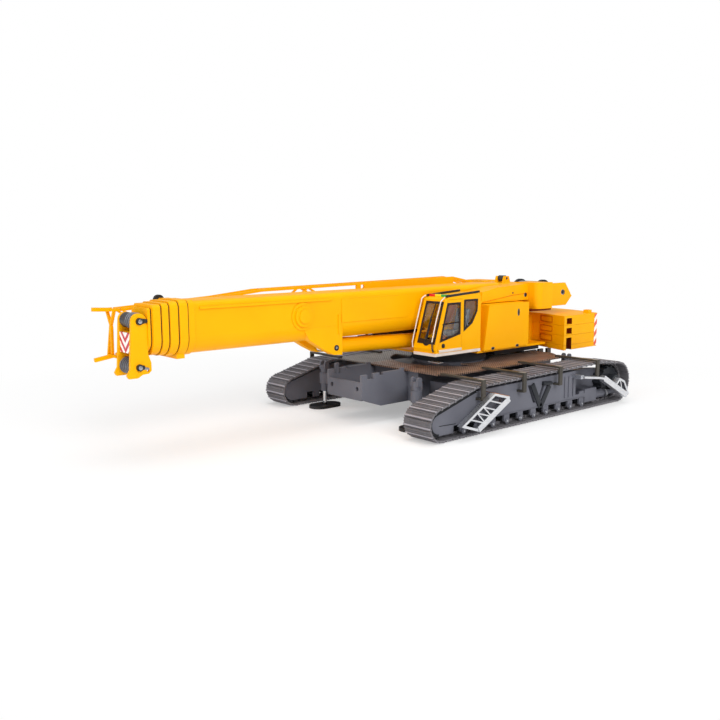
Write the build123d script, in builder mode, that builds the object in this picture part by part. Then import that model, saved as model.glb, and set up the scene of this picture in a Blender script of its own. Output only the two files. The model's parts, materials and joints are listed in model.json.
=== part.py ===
"""Telescopic crawler crane: a 1:50 scale model, built as separate pieces in millimetres.

X points forward to the boom head, Y to the machine's left and Z up, with the tracks standing on
Z = 0. Every piece is drawn on planes that count X from the slew centre.
"""

from build123d import *
import math
import os

os.makedirs("parts", exist_ok=True)

# ---------------------------------------------------------------- reach and frame
JIB_TIP_X = 208.0  # front tips of the stowed jib's end frame
TAIL_RADIUS = 98.0  # counterweight's tail swing
SLEW_X = (TAIL_RADIUS - JIB_TIP_X) / 2  # slew centre, with the whole model centred on X = 0
SIDES = (("left", 1), ("right", -1))
ENDS = (("front", 1), ("rear", -1))
SEAT_GAP = 0.05  # between pieces that are fitted together

# ---------------------------------------------------------------- tracks
TRACK_Y = 59.25  # track's centre line from the machine's
SHOE_WIDTH = 18.0
SHOE_PITCH = 4.6
SHOE_GAP = 0.9
SHOE_THICK = 0.9
SHOE_ROOT = 0.4  # how far a shoe sinks into the band under it
BAND_THICK = 0.7
LINK_THICK = 1.2
LINK_WIDTH = 7.0
IDLER_X = 76.3
IDLER_WRAP = 8.8  # radius of the shoes' outer face round the idler
SPROCKET_X = -73.5
SPROCKET_WRAP = 12.2
CARRIER_WRAP = 8.0
TOP_FRONT_X = 50.0
TOP_FRONT_Z = 25.0
TOP_REAR_X = -58.0
TOP_REAR_Z = 26.4
WRAP = (  # wheels the track runs round: x, z, radius of the shoes' outer face
    (IDLER_X, IDLER_WRAP, IDLER_WRAP),
    (TOP_FRONT_X, TOP_FRONT_Z - CARRIER_WRAP, CARRIER_WRAP),
    (TOP_REAR_X, TOP_REAR_Z - CARRIER_WRAP, CARRIER_WRAP),
    (SPROCKET_X, SPROCKET_WRAP, SPROCKET_WRAP),
)
TRACK_DEPTH = SHOE_THICK + BAND_THICK + LINK_THICK

# ---------------------------------------------------------------- track frames
FRAME_WIDTH = 13.2
FRAME_IN_Y = TRACK_Y - FRAME_WIDTH / 2  # frames' inner and outer faces
FRAME_OUT_Y = TRACK_Y + FRAME_WIDTH / 2
FRAME_GAP = 0.4  # track links to frame
FLANGE_Z = 6.8  # underside of the frame above the rollers
NOSE_X = 66.0  # the frame's nose in front of this reaches down beside the idler
FRAME_REAR_X = -34.0
ARM_THICK = 3.6  # frame's rear arm, inboard of the sprocket
ARM_HIGH_Z = 20.6
ARM_REAR_HIGH_Z = 19.0
ROLLER_R = 1.9
ROLLER_PITCH = 11.0
ROLLER_COUNT = 10
ROLLER_FIRST_X = 59.0
ROLLER_PLATE = 1.2  # thickness of the plates that hold the rollers
ROLLER_PLATE_LONG = 4.4
WHEEL_WIDTH = 5.6  # idler and sprocket
WHEEL_GAP = 0.2
SLOT_SPARE = 0.4  # idler's slot is this much wider than the idler
HUB_R = 4.0
HUB_PROUD = 0.6  # of the frame's outer face
V_SLOT_WIDE = 2.2
V_SLOT_DEEP = 2.5
V_SLOTS = ((8.0, 3.2), (-5.0, -0.2))  # x at the top, x at the bottom
V_TOP_Z = 19.6
V_LOW_Z = 9.6
TOOTH_COUNT = 14
TOOTH_HIGH = 1.2
TOOTH_LONG = 1.6
FRAME_SILL_Z = 9.0  # low sill behind the frame's deep part, over the last roller
DRIVE_BOX_FRONT_X = -43.0  # track drive's box, behind the sill
DRIVE_BOX_REAR_X = -54.6
DRIVE_BOX_LOW_Z = 3.4
DRIVE_BOX_HIGH_Z = 11.0
DRIVE_CAN_REAR_X = -63.6  # a round can behind the box, and the tensioner's rod behind that
DRIVE_CAN_R = 2.5
DRIVE_CAN_IN = 0.9  # can's centre, inboard of the rod's
DRIVE_ROD_REAR_X = -76.0
DRIVE_ROD_R = 1.5
DRIVE_ROD_Y = 4.9  # from the track's centre line
DRIVE_ROD_Z = 6.2

# ---------------------------------------------------------------- carrier
BOX_X = 47.0  # half length of the centre box
BOX_Y = 22.0
BOX_LOW_Z = 9.0
BOX_HIGH_Z = 25.4
BEAM_X = 30.0  # cross-beams' centres fore and aft
BEAM_LONG = 16.0
BEAM_LOW_Z = 9.6
BEAM_HIGH_Z = 20.0
TRAY_Y = 14.5  # outer faces of the tray's cheek plates
CHEEK_THICK = 1.6
TRAY_TIP_X = 80.4
TRAY_FLOOR_Z = 10.8
TRAY_LIP_Z = 13.8
TRAY_RISE_BACK = 14.4  # where the floor starts to rise, behind the tip
TRAY_RISE_FRONT = 4.4
TRAY_FRONT_TOP_Z = 22.5
CHEEK_TOP = (  # behind the tray's tip, z: the cheek's notched upper edge
    (30.0, 25.4),
    (30.0, 27.6),
    (28.0, 27.6),
    (27.4, 26.8),
    (14.8, 26.8),
    (14.8, 25.4),
    (12.4, 25.4),
    (12.4, 26.8),
    (8.0, 26.8),
    (8.0, 24.0),
    (3.8, 24.0),
    (3.8, 26.6),
    (0.0, 26.6),
)
CHEEK_LOW = ((0.0, 14.0), (3.8, 12.1), (13.2, 9.0))  # behind the tray's tip, z: its lower edge
TRAY_POST_X = 74.4  # post in the far cheek's notch, front tray only
TRAY_POST_LONG = 2.0
TRAY_POST_TOP_Z = 29.6
TRAY_HOLE_R = 1.2
TRAY_HOLE_YS = (10.5, 9.0)  # front and rear plate
TRAY_HOLE_Z = 19.0
DISPLAY_HOLE_R = 1.6  # tapped hole in the belly, for a display stand's screw
DISPLAY_HOLE_DEEP = 8.0

# ---------------------------------------------------------------- jacks
JACK_X = 64.0
JACK_Y = 38.0
JACK_R = 2.1
JACK_LOW_Z = 9.5
JACK_HIGH_Z = 24.6
JACK_EAR_Z = 27.0
JACK_EAR_R = 1.6
JACK_EAR_Y = 2.0  # ears' middles either side of the jack's
JACK_EAR_THICK = 1.2
JACK_ROD_R = 1.1
JACK_ROD_TOP_Z = 17.0
JACK_BORE_SPARE = 0.1  # radial, rod in barrel
JACK_BORE_TOP_Z = 24.0
PAD_LONG = 20.0
PAD_WIDE = 12.0
PAD_THICK = 1.6
ARM_WIDE = 5.4
ARM_ROOT = 4.0  # arm's inner end, inside the box's corner
ARM_RING = 0.8
ARM_BAND_LOW_Z = 14.0
ARM_BAND_HIGH_Z = 20.0

# ---------------------------------------------------------------- catwalks and ladders
DECK_Z = 26.0
DECK_THICK = 0.8
DECK_FRONT_X = 50.0
DECK_REAR_X = -60.0
DECK_OUT_Y = TRACK_Y - 14.75
DECK_IN_Y = 16.0
DECK_CUT_R = 24.0  # round opening for the turntable
DECK_BAY_R = 34.6  # wider opening in front of it
DECK_BAY_X = 12.0
BRACKET_XS = (49.0, 17.0, -14.0, -49.0)
BRACKET_WIDE = 2.6
BRACKET_TOP_Z = 27.8
BRACKET_THICK = 1.0
BRACKET_LAP = 3.0  # over the catwalk's edge
BRACKET_OUT_Y = FRAME_OUT_Y + 4.35
BRACKET_FOOT_Z = 17.5
LADDER_DEPTH = 3.2
LADDER_OUT_Y = FRAME_OUT_Y + 7.75
SIDE_WIDE = 3.2  # a folding ladder's broad side, and the bars of the rest of it
BAR_WIDE = 1.2
RUNG_WIDE = 0.7
LADDERS = (  # broad side's top and foot, the other bars' lines, the rungs' ends and the stub: x, z
    (
        ((33.4, 17.0), (56.2, 4.7)),
        (((33.4, 17.4), (44.6, 20.4), (67.2, 7.8), (57.0, 4.5)),),
        (((37.6, 14.8), (48.8, 18.0)), ((42.4, 12.2), (53.2, 15.4)), ((53.2, 15.4), (47.0, 9.8)),
         ((47.0, 9.8), (57.6, 13.0)), ((57.6, 13.0), (51.6, 7.2)), ((51.6, 7.2), (62.4, 10.4))),
        (33.6, 17.0),
    ),
    (
        ((-50.6, 17.6), (-75.0, 4.8)),
        (
            ((-62.6, 12.0), (-66.8, 15.2), (-71.4, 13.2), (-76.4, 5.0)),
            ((-31.0, 20.2), (-46.4, 18.2), (-51.0, 17.2)),
        ),
        (((-66.8, 15.2), (-69.4, 8.4)),),
        (-31.2, 20.2),
    ),
)
STUB_LONG = 2.6
STUB_HIGH = 2.0

# ---------------------------------------------------------------- turntable and upper frame
RING_LOW_R = 20.6
RING_LOW_TOP_Z = 27.2
SKIRT_R = 22.0
SKIRT_Z = 27.4
TAIL_FRAME_FRONT_X = -18.0  # dark frame under the floor, behind the turntable
TAIL_FRAME_REAR_X = -60.0
TAIL_FRAME_Y = 20.0
TAIL_FRAME_LOW_Z = 28.6
FLOOR_Z = 32.6
FLOOR_TOP_Z = 33.8
FLOOR_Y = 28.0
FLOOR_REAR_X = -56.0
FLOOR_FRONT_X = 30.0
CHEEK_IN_Y = 11.0  # upper frame's side plates, beside the boom
CHEEK_WALL = 2.0
CHEEK_FRONT_X = 6.5
PIVOT_X = -52.0  # boom pivot
PIVOT_Z = 62.0
PIVOT_PIN_R = 2.5
PIN_PLAY = 0.05  # radial running clearance of a pin in its bore
SHOULDER_OUT_Y = 22.0
SHOULDER_LOW_Z = 59.8
BRACKET_BOX_FRONT_X = -45.6  # boxes that carry the counterweight lifting cylinders
BRACKET_BOX_REAR_X = -59.0
BRACKET_BOX_LOW_Z = 54.5
BRACKET_BOX_TOP_Z = 70.2
BRACKET_BOX_OUT_Y = 30.0
BRACKET_BOX_ROUND = 4.0
CHEEK = (  # side plate's outline: x, z
    (CHEEK_FRONT_X, FLOOR_Z),
    (CHEEK_FRONT_X, 65.2),
    (-17.4, 68.4),
    (BRACKET_BOX_FRONT_X, 69.6),
    (BRACKET_BOX_REAR_X, 69.6),
    (BRACKET_BOX_REAR_X, BRACKET_BOX_LOW_Z),
    (-52.0, 50.0),
    (-54.0, 44.0),
    (-54.0, FLOOR_Z),
)
SHOULDER = (  # block on the left side plate, over the body cover: x, z
    (-3.0, SHOULDER_LOW_Z),
    (-4.4, 66.2),
    (-17.4, 68.4),
    (BRACKET_BOX_FRONT_X, 69.6),
    (BRACKET_BOX_FRONT_X, SHOULDER_LOW_Z),
)
WINCH_PLATE = ((-58.5, 69.0), (-79.0, 69.0), (-86.0, 60.4), (-80.0, 55.0), (-58.5, 55.0))  # x, z
WINCH_X = -77.0
WINCH_Z = 63.0
WINCH_PLATE_OUT_Y = 25.0
WINCH_PLATE_THICK = 1.8
DRUM_HALF = 9.0
DRUM_R = 5.6
DRUM_FLANGE_R = 7.4
DRUM_FLANGE_THICK = 2.0
DRUM_SHAFT_R = 1.6
COVER_OUT_Y = 30.0
COVER_LOW_Z = 33.8
COVER_TOP_Z = 59.4
COVER_REAR_X = -36.7
COVER_FRONT_LOW_X = 3.1
COVER_FRONT_TOP_X = -1.2

# ---------------------------------------------------------------- counterweight
CW_Y = 42.7
CW_LOW_Z = 30.0
CW_SLABS = (2.9, 5.8, 5.8, 5.8)
CW_GAP = 0.1
CW_SIDE_FRONT_X = -54.2
CW_MID_FRONT_X = -62.0
CW_MID_Y = 18.8
CW_NOTCH_X = -56.6  # lifting slot in each side
CW_NOTCH_LONG = 5.4
CW_NOTCH_DEEP = 3.0
CW_NOTCH_HIGH = 3.7
CW_NOTCH_FLOOR = 0.6  # under the slot in the upper slabs
CW_LUG_X = 15.0 - TAIL_RADIUS  # lifting lug on the top slab
CW_LUG_LONG = 3.6
CW_LUG_HIGH = 2.0

# ---------------------------------------------------------------- cab
CAB_IN_Y = 13.5
CAB_OUT_Y = 30.0
CAB_REAR_X = 6.2
CAB_LOW_Z = 34.2
CAB_BASE_THICK = 1.6
CAB_HINGE_X = CAB_REAR_X + 1.0  # the cab tilts back about a knuckle under its rear edge
CAB_HINGE_Z = CAB_LOW_Z + 0.8
CAB_HINGE_R = 1.0
CAB_WALL = 0.9
CAB_SILL_Z = 38.0  # the front leans back above this
CAB_FRONT_LOW_X = 42.3
CAB_FRONT_TOP_X = 34.2
CAB_FRONT_TOP_Z = 64.2
CAB_ROOF_FRONT_X = 32.0
CAB_ROOF_FRONT_Z = 65.4
CAB_ROOF_REAR_X = 7.8
CAB_ROOF_REAR_Z = 66.8
CAB_SHOULDER_Z = 64.8  # top of the upright back, below the sloped corner
CAB_TUCK = 0.4  # the front tucks back this far below the sill
RAIL_FRONT_X = 33.0  # rails on the cab's roof
RAIL_REAR_X = 6.8
RAIL_HIGH = 1.2
RAIL_THICK = 1.0
LAMP_BAR_HIGH = 1.3
LAMP_BAR_LONG = 1.6
GLASS_THICK = 0.4
SCREEN_LOW_Z = 41.0  # windscreen's opening
SCREEN_HIGH = 21.8
SCREEN_IN_Y = 16.0
SCREEN_OUT_Y = 28.5
DOOR_REAR_X = 21.6
DOOR_TOP_Z = 64.2
DOOR_MARGIN = 1.2  # of the cab's side left under the door, and in front of it
DOOR_FRONT_MARGIN = 1.6
DOOR_GAP = 0.15
SEAT = (  # seat's side outline above the cab's floor plate: x, z
    (13.0, CAB_LOW_Z + CAB_BASE_THICK + CAB_WALL),
    (13.0, 44.0),
    (10.4, 57.5),
    (12.6, 58.0),
    (15.6, 46.0),
    (24.0, 46.6),
    (24.0, 43.6),
    (20.0, 43.0),
    (20.0, CAB_LOW_Z + CAB_BASE_THICK + CAB_WALL),
)
SEAT_WIDE = 8.0

# ---------------------------------------------------------------- boom
BOOM_WIDTH = 20.0
BOOM_LOW_Z = 46.1
BOOM_HIGH = 23.9
BOOM_TOP_R = 2.6
BOOM_LOW_R = 8.0
BOOM_WALL = 0.8
BOOM_GAP = 0.2
CORNER_MIN = 1.0
BOOM_REAR_X = -34.0
BASE_FRONT_X = 176.5
BASE_BAND_LONG = 3.0
BASE_BAND_PROUD = 0.5
COLLARS = (  # telescopic sections from the outermost: collar length, how far it stands proud of the base
    (3.9, 0.8),
    (3.7, 0.3),
    (2.9, -0.3),
    (3.6, -0.8),
    (1.2, -2.2),
)
COLLAR_GAP = 0.55
FOOT_PAD_WIDE = 13.0  # pad under the first collar
FOOT_PAD_HIGH = 2.4
SECTION_REAR_STEP = 2.0
END_WALL = 1.0  # the innermost section is closed at its front
GUIDE_X = 179.2  # guide wheel on the first collar's far side
GUIDE_Z = 69.6
GUIDE_R = 2.4
GUIDE_THICK = 1.8
GUIDE_OUT_Y = 13.2
GUIDE_HUB_R = 1.0
FOOT_R = 7.8
EYE_X = 93.4  # luffing cylinder's upper eye
EYE_Z = 41.9
EYE_R = 3.0
EYE_WIDE = 9.4
EAR_GAP = 0.3
LUG = ((114.0, 53.0), (110.5, 47.2), (101.4, 41.6), (95.0, 38.4), (89.6, 38.0), (89.3, 53.0))  # x, z
RIB_X = 91.6  # upright rib over the lug's rear edge
RIB_LOW_Z = 49.0
RIB_HIGH = 9.8
RIB_WIDE = 1.4
RIB_PROUD = 0.6
PANEL_FRONT_X = 90.0  # raised panel on each side of the boom, behind the rib
PANEL_REAR_X = 42.0
PANEL_LOW_Z = 54.6
PANEL_HIGH_Z = 66.6
PANEL_ROUND = 3.4
PANEL_PROUD = 0.35
TOP_RAIL_FRONT_X = 171.0  # rail along each upper edge
TOP_RAIL_REAR_X = 96.0
TOP_RAIL_LOW_Z = 66.2
TOP_RAIL_HIGH = 1.2
TOP_RAIL_PROUD = 0.8
TRUNNION_X = 114.3
TRUNNION_Z = 59.3
TRUNNION_RINGS = ((6.8, 0.6), (5.2, 1.7), (3.4, 2.4))  # radius, height
SHEAVE_X = -48.0  # deflection sheave over the boom foot
SHEAVE_Z = 72.0
SHEAVE_R = 1.8
SHEAVE_PIN_R = 0.8
SHEAVE_EAR_Y = 3.0
SHEAVE_EAR_R = 2.0
SHEAVE_EAR_THICK = 1.2

# ---------------------------------------------------------------- luffing cylinder
CYL_FOOT_X = -2.0
CYL_FOOT_Z = 38.6
CYL_R = 4.1
CYL_FOOT_R = 4.0
CYL_FOOT_WIDE = 11.2
CYL_EAR_R = 3.4
CYL_EAR_THICK = 2.0
CYL_PIN_R = 1.6
CYL_BORE_SPARE = 0.15
ROD_R = 2.6
GLAND_BACK = 8.0  # barrel's end short of the eye, closed

# ---------------------------------------------------------------- boom head
HEAD_PLATE_OUT_Y = 7.0
HEAD_PLATE_THICK = 1.6
UPPER_PIN_X = 198.2
UPPER_PIN_Z = 62.4
LOWER_PIN_X = 198.9
LOWER_PIN_Z = 42.6
HEAD_PIN_R = 1.5
HEAD_PIN_PROUD = 1.2
HEAD_ROUND_R = 3.4  # plates' rounded tops, round the upper pin
HEAD_HOLE = (194.9, 41.0)
HEAD_HOLE_R = 0.6
HEAD_WEB_LOW_Z = 48.6  # box between the head's plates
HEAD_WEB_HIGH = 9.0
HEAD_WEB_LONG = 5.0
UPPER_SHEAVE_R = 3.3
LOWER_SHEAVE_R = 3.4
SHEAVE_PLAY = 0.3
MARKER_X = 201.6
MARKER_LOW_Z = 48.6
MARKER_TOP_Z = 57.4
MARKER_THICK = 0.6

# ---------------------------------------------------------------- stowed jib
JIB_NEAR_Y = -14.4
JIB_FAR_Y = -22.6
JIB_BAR = 1.2
JIB_BRACE = 0.84
JIB_FRONT_X = 196.0  # the lattice ends here and the end frame starts
JIB_TOP = ((-36.0, 69.5), (-18.0, 73.0), (122.0, 71.2), (147.0, 68.8), (JIB_FRONT_X, 66.0))  # x, z
JIB_LOW = ((-36.0, 66.5), (8.0, 62.5), (JIB_FRONT_X, 45.2))  # x, z
JIB_BAY = 26.0
JIB_WEB_FRONT_X = 54.0  # plated part of the jib's near side, under its top chord
JIB_WEB_DEEP = 4.0
JIB_POSTS = (  # posts that carry the jib on the boom's side: x, how far the boom's side stands proud there
    (58.0, PANEL_PROUD),
    (150.0, 0.0),
)
JIB_POST_LONG = 3.0
JIB_FOOT_LOW_Z = 57.0
JIB_FOOT_HIGH = 5.0
END_FRAME_X = 199.6  # braces of the end frame
END_BAR = 1.7
END_TIP_TOP_Z = 66.5
END_TIP_LOW_Z = 43.9
END_BRACES = (  # y, z
    ((JIB_NEAR_Y, 66.0), (-18.9, 58.2), (JIB_FAR_Y, 45.2)),
    ((JIB_FAR_Y, 66.0), (-18.1, 58.2), (-18.5, 45.2)),
)


def side(y):
    """Upright plane at y, drawn as X and Z; an extrusion from it runs to the right, to -Y."""
    return Plane(origin=(SLEW_X, y, 0), x_dir=(1, 0, 0), z_dir=(0, -1, 0))


def level(z):
    """Level plane at height z, drawn as X and Y."""
    return Plane(origin=(SLEW_X, 0, z))


def across(x):
    """Upright plane across the model at x, drawn as Y and Z; an extrusion runs forward."""
    return Plane(origin=(SLEW_X + x, 0, 0), x_dir=(0, 1, 0), z_dir=(1, 0, 0))


def wrapped(inset):
    """Area inside the track's loop, inset from the shoes' outer face."""
    with BuildSketch() as area:
        for x, z, radius in WRAP:
            with Locations((x, z)):
                Circle(radius - inset)
        make_hull()
    return area.sketch


def deck_opening():
    """Opening round the turntable, wider in front of it."""
    with BuildSketch() as opening:
        Circle(DECK_BAY_R)
        with Locations((DECK_BAY_X, 0)):
            Rectangle(2 * DECK_BAY_R, 2 * DECK_BAY_R, align=(Align.MIN, Align.CENTER), mode=Mode.INTERSECT)
        Circle(DECK_CUT_R)
    return opening.sketch


def slice_between(points, x):
    """Height at x on a line through a table of x, z points."""
    for (x0, z0), (x1, z1) in zip(points, points[1:]):
        if min(x0, x1) <= x <= max(x0, x1):
            return z0 + (z1 - z0) * (x - x0) / (x1 - x0)
    return points[-1][1]


# ================================================================ undercarriage
for name, hand in SIDES:
    # Track: one loop, its shoes standing on a band, with the chain's links as a rib inside.
    with BuildPart() as track:
        with BuildSketch(side(hand * TRACK_Y)):
            add(wrapped(SHOE_THICK))
            shoe_line = wrapped((SHOE_THICK + SHOE_ROOT) / 2).wire()
            shoe_count = round(shoe_line.length / SHOE_PITCH)
            for n in range(shoe_count):
                seat = shoe_line.position_at(n / shoe_count)
                heading = shoe_line.tangent_at(n / shoe_count)
                turn = math.degrees(math.atan2(heading.Y, heading.X))
                with Locations(Location((seat.X, seat.Y, 0), (0, 0, turn))):
                    Rectangle(SHOE_PITCH - SHOE_GAP, SHOE_THICK + SHOE_ROOT)
            add(wrapped(SHOE_THICK + BAND_THICK), mode=Mode.SUBTRACT)
            with Locations((0, 0)):
                Rectangle(4 * JIB_TIP_X, SHOE_PITCH, align=(Align.CENTER, Align.MAX), mode=Mode.SUBTRACT)
        extrude(amount=SHOE_WIDTH / 2, both=True)
        with BuildSketch(side(hand * TRACK_Y)):
            add(wrapped(SHOE_THICK + BAND_THICK / 2))
            add(wrapped(TRACK_DEPTH), mode=Mode.SUBTRACT)
        extrude(amount=LINK_WIDTH / 2, both=True)
    track.part.label = f"track_{name}"
    export_step(track.part, f"parts/track_{name}.step")

    # Track frame: the beam inside the loop, open over the rollers, with an arm to the sprocket.
    frame_inset = TRACK_DEPTH + FRAME_GAP
    arm_mid = hand * (FRAME_IN_Y + ARM_THICK / 2)
    with BuildPart() as frame:
        with BuildSketch(side(hand * TRACK_Y)):
            add(wrapped(frame_inset))
            with Locations((NOSE_X, FLANGE_Z)):
                Rectangle(4 * NOSE_X, 4 * FLANGE_Z, align=(Align.MAX, Align.MAX), mode=Mode.SUBTRACT)
            with Locations((FRAME_REAR_X, 0)):
                Rectangle(4 * NOSE_X, 4 * NOSE_X, align=(Align.MAX, Align.CENTER), mode=Mode.SUBTRACT)
        extrude(amount=FRAME_WIDTH / 2, both=True)
        with BuildSketch(side(hand * TRACK_Y)):
            Polygon(
                (FRAME_REAR_X + 1, FLANGE_Z),
                (FRAME_REAR_X + 1, FRAME_SILL_Z),
                (DRIVE_BOX_FRONT_X - 1, FRAME_SILL_Z),
                (DRIVE_BOX_FRONT_X - 1, FLANGE_Z),
                align=None,
            )
        extrude(amount=FRAME_WIDTH / 2, both=True)
        with BuildSketch(side(arm_mid)):
            Polygon(
                (FRAME_REAR_X + 1, FLANGE_Z),
                (FRAME_REAR_X + 1, ARM_HIGH_Z),
                (TOP_REAR_X, ARM_HIGH_Z),
                (SPROCKET_X, ARM_REAR_HIGH_Z),
                (SPROCKET_X, DRIVE_BOX_LOW_Z + 1),
                (TOP_REAR_X, DRIVE_BOX_LOW_Z),
                (DRIVE_BOX_FRONT_X, DRIVE_BOX_LOW_Z),
                (DRIVE_BOX_FRONT_X, FLANGE_Z),
                align=None,
            )
        extrude(amount=ARM_THICK / 2, both=True)
        rod_y = hand * (TRACK_Y + DRIVE_ROD_Y)
        with BuildSketch(side(hand * (FRAME_IN_Y + ARM_THICK - 1))):
            Polygon(
                (DRIVE_BOX_FRONT_X, DRIVE_BOX_LOW_Z),
                (DRIVE_BOX_FRONT_X, DRIVE_BOX_HIGH_Z),
                (DRIVE_BOX_REAR_X, DRIVE_BOX_HIGH_Z),
                (DRIVE_BOX_REAR_X, DRIVE_BOX_LOW_Z),
                align=None,
            )
        extrude(amount=-hand * (FRAME_WIDTH - ARM_THICK + 1))
        with BuildSketch(across(DRIVE_BOX_REAR_X + 1)):
            with Locations((rod_y - hand * DRIVE_CAN_IN, DRIVE_ROD_Z)):
                Circle(DRIVE_CAN_R)
        extrude(amount=DRIVE_CAN_REAR_X - DRIVE_BOX_REAR_X - 1)
        with BuildSketch(across(DRIVE_CAN_REAR_X + 1)):
            with Locations((rod_y, DRIVE_ROD_Z)):
                Circle(DRIVE_ROD_R)
        extrude(amount=DRIVE_ROD_REAR_X - DRIVE_CAN_REAR_X - 1)
        with BuildSketch(side(hand * TRACK_Y)):
            with Locations((NOSE_X, 0)):
                Rectangle(4 * NOSE_X, 4 * NOSE_X, align=(Align.MIN, Align.CENTER))
        extrude(amount=(WHEEL_WIDTH + SLOT_SPARE) / 2, both=True, mode=Mode.SUBTRACT)
        for plate_y in (-1, 1):
            with BuildSketch(side(hand * TRACK_Y + plate_y * (FRAME_WIDTH - ROLLER_PLATE) / 2)):
                for n in range(ROLLER_COUNT):
                    with Locations((ROLLER_FIRST_X - n * ROLLER_PITCH, FLANGE_Z)):
                        Rectangle(ROLLER_PLATE_LONG, 2 * (FLANGE_Z - TRACK_DEPTH - FRAME_GAP))
            extrude(amount=ROLLER_PLATE / 2, both=True)
        with BuildSketch(side(hand * FRAME_OUT_Y)):
            for top_x, low_x in V_SLOTS:
                half = V_SLOT_WIDE / 2
                Polygon(
                    (top_x - half, V_TOP_Z),
                    (top_x + half, V_TOP_Z),
                    (low_x + half, V_LOW_Z),
                    (low_x - half, V_LOW_Z),
                    align=None,
                )
        extrude(amount=hand * V_SLOT_DEEP, mode=Mode.SUBTRACT)
    frame.part.label = f"track_frame_{name}"
    export_step(frame.part, f"parts/track_frame_{name}.step")

    # Idler, sprocket and rollers, each seated on the frame.
    with BuildPart() as wheels:
        with BuildSketch(side(hand * TRACK_Y)):
            with Locations((IDLER_X, IDLER_WRAP)):
                Circle(IDLER_WRAP - TRACK_DEPTH - WHEEL_GAP)
            with Locations((SPROCKET_X, SPROCKET_WRAP)):
                Circle(SPROCKET_WRAP - TRACK_DEPTH - TOOTH_HIGH)
                with PolarLocations(SPROCKET_WRAP - TRACK_DEPTH - TOOTH_HIGH, TOOTH_COUNT):
                    Rectangle(2 * (TOOTH_HIGH - WHEEL_GAP), TOOTH_LONG)
        extrude(amount=WHEEL_WIDTH / 2, both=True)
        with BuildSketch(side(hand * TRACK_Y)):
            with Locations((IDLER_X, IDLER_WRAP)):
                Circle(HUB_R / 2)
        extrude(amount=(WHEEL_WIDTH + SLOT_SPARE) / 2, both=True)
        with BuildSketch(side(hand * (FRAME_IN_Y + ARM_THICK))):
            with Locations((SPROCKET_X, SPROCKET_WRAP)):
                Circle(HUB_R)
        extrude(amount=-hand * (FRAME_WIDTH - ARM_THICK + HUB_PROUD))
        with BuildSketch(side(hand * TRACK_Y)):
            for n in range(ROLLER_COUNT):
                with Locations((ROLLER_FIRST_X - n * ROLLER_PITCH, TRACK_DEPTH + ROLLER_R)):
                    Circle(ROLLER_R)
        extrude(amount=FRAME_WIDTH / 2 - ROLLER_PLATE, both=True)
    wheels.part.label = f"track_wheels_{name}"
    export_step(wheels.part, f"parts/track_wheels_{name}.step")

    # Catwalk, cut round for the turntable.
    with BuildPart() as catwalk:
        with BuildSketch(level(DECK_Z)) as deck:
            Polygon(
                (DECK_FRONT_X, hand * DECK_IN_Y),
                (DECK_FRONT_X, hand * (DECK_OUT_Y - 5)),
                (DECK_FRONT_X - 5, hand * DECK_OUT_Y),
                (DECK_REAR_X + 10, hand * DECK_OUT_Y),
                (DECK_REAR_X, hand * (DECK_OUT_Y - 14)),
                (DECK_REAR_X, hand * DECK_IN_Y),
                align=None,
            )
            add(deck_opening(), mode=Mode.SUBTRACT)
        extrude(amount=DECK_THICK)
    catwalk.part.label = f"catwalk_{name}"
    export_step(catwalk.part, f"parts/catwalk_{name}.step")

    # Brackets that reach over the track from the frame to the catwalk.
    with BuildPart() as brackets:
        for x in BRACKET_XS:
            with BuildSketch(across(x)):
                Polygon(
                    (hand * (DECK_OUT_Y - BRACKET_LAP), DECK_Z + DECK_THICK),
                    (hand * (DECK_OUT_Y - BRACKET_LAP), BRACKET_TOP_Z),
                    (hand * BRACKET_OUT_Y, BRACKET_TOP_Z),
                    (hand * BRACKET_OUT_Y, BRACKET_FOOT_Z),
                    (hand * FRAME_OUT_Y, BRACKET_FOOT_Z),
                    (hand * FRAME_OUT_Y, BRACKET_FOOT_Z + BRACKET_THICK),
                    (hand * (BRACKET_OUT_Y - BRACKET_THICK), BRACKET_FOOT_Z + BRACKET_THICK),
                    (hand * (BRACKET_OUT_Y - BRACKET_THICK), DECK_Z + DECK_THICK),
                    align=None,
                )
            extrude(amount=BRACKET_WIDE / 2, both=True)
    brackets.part.label = f"catwalk_brackets_{name}"
    export_step(brackets.part, f"parts/catwalk_brackets_{name}.step")

    # Folding ladders in front of the track frame, on stubs from it.
    with BuildPart() as ladders:
        for broad, lines, rungs, stub in LADDERS:
            with BuildSketch(side(hand * LADDER_OUT_Y)):
                with BuildLine():
                    Line(*broad)
                trace(line_width=SIDE_WIDE)
                for line in lines:
                    with BuildLine():
                        Polyline(*line)
                    trace(line_width=BAR_WIDE)
                for rung in rungs:
                    with BuildLine():
                        Line(*rung)
                    trace(line_width=RUNG_WIDE)
            extrude(amount=hand * LADDER_DEPTH)
            with BuildSketch(side(hand * (LADDER_OUT_Y - LADDER_DEPTH / 2))):
                with Locations(stub):
                    Rectangle(STUB_LONG, STUB_HIGH)
            extrude(amount=hand * (LADDER_OUT_Y - LADDER_DEPTH / 2 - FRAME_OUT_Y))
    ladders.part.label = f"ladders_{name}"
    export_step(ladders.part, f"parts/ladders_{name}.step")

# Front deck between the catwalks.
with BuildPart() as front_deck:
    with BuildSketch(level(DECK_Z)):
        with Locations((DECK_FRONT_X, 0)):
            Rectangle(DECK_FRONT_X - 30, 2 * (DECK_IN_Y - SEAT_GAP), align=(Align.MAX, Align.CENTER))
        add(deck_opening(), mode=Mode.SUBTRACT)
    extrude(amount=DECK_THICK)
front_deck.part.label = "front_deck"
export_step(front_deck.part, "parts/front_deck.step")

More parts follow.
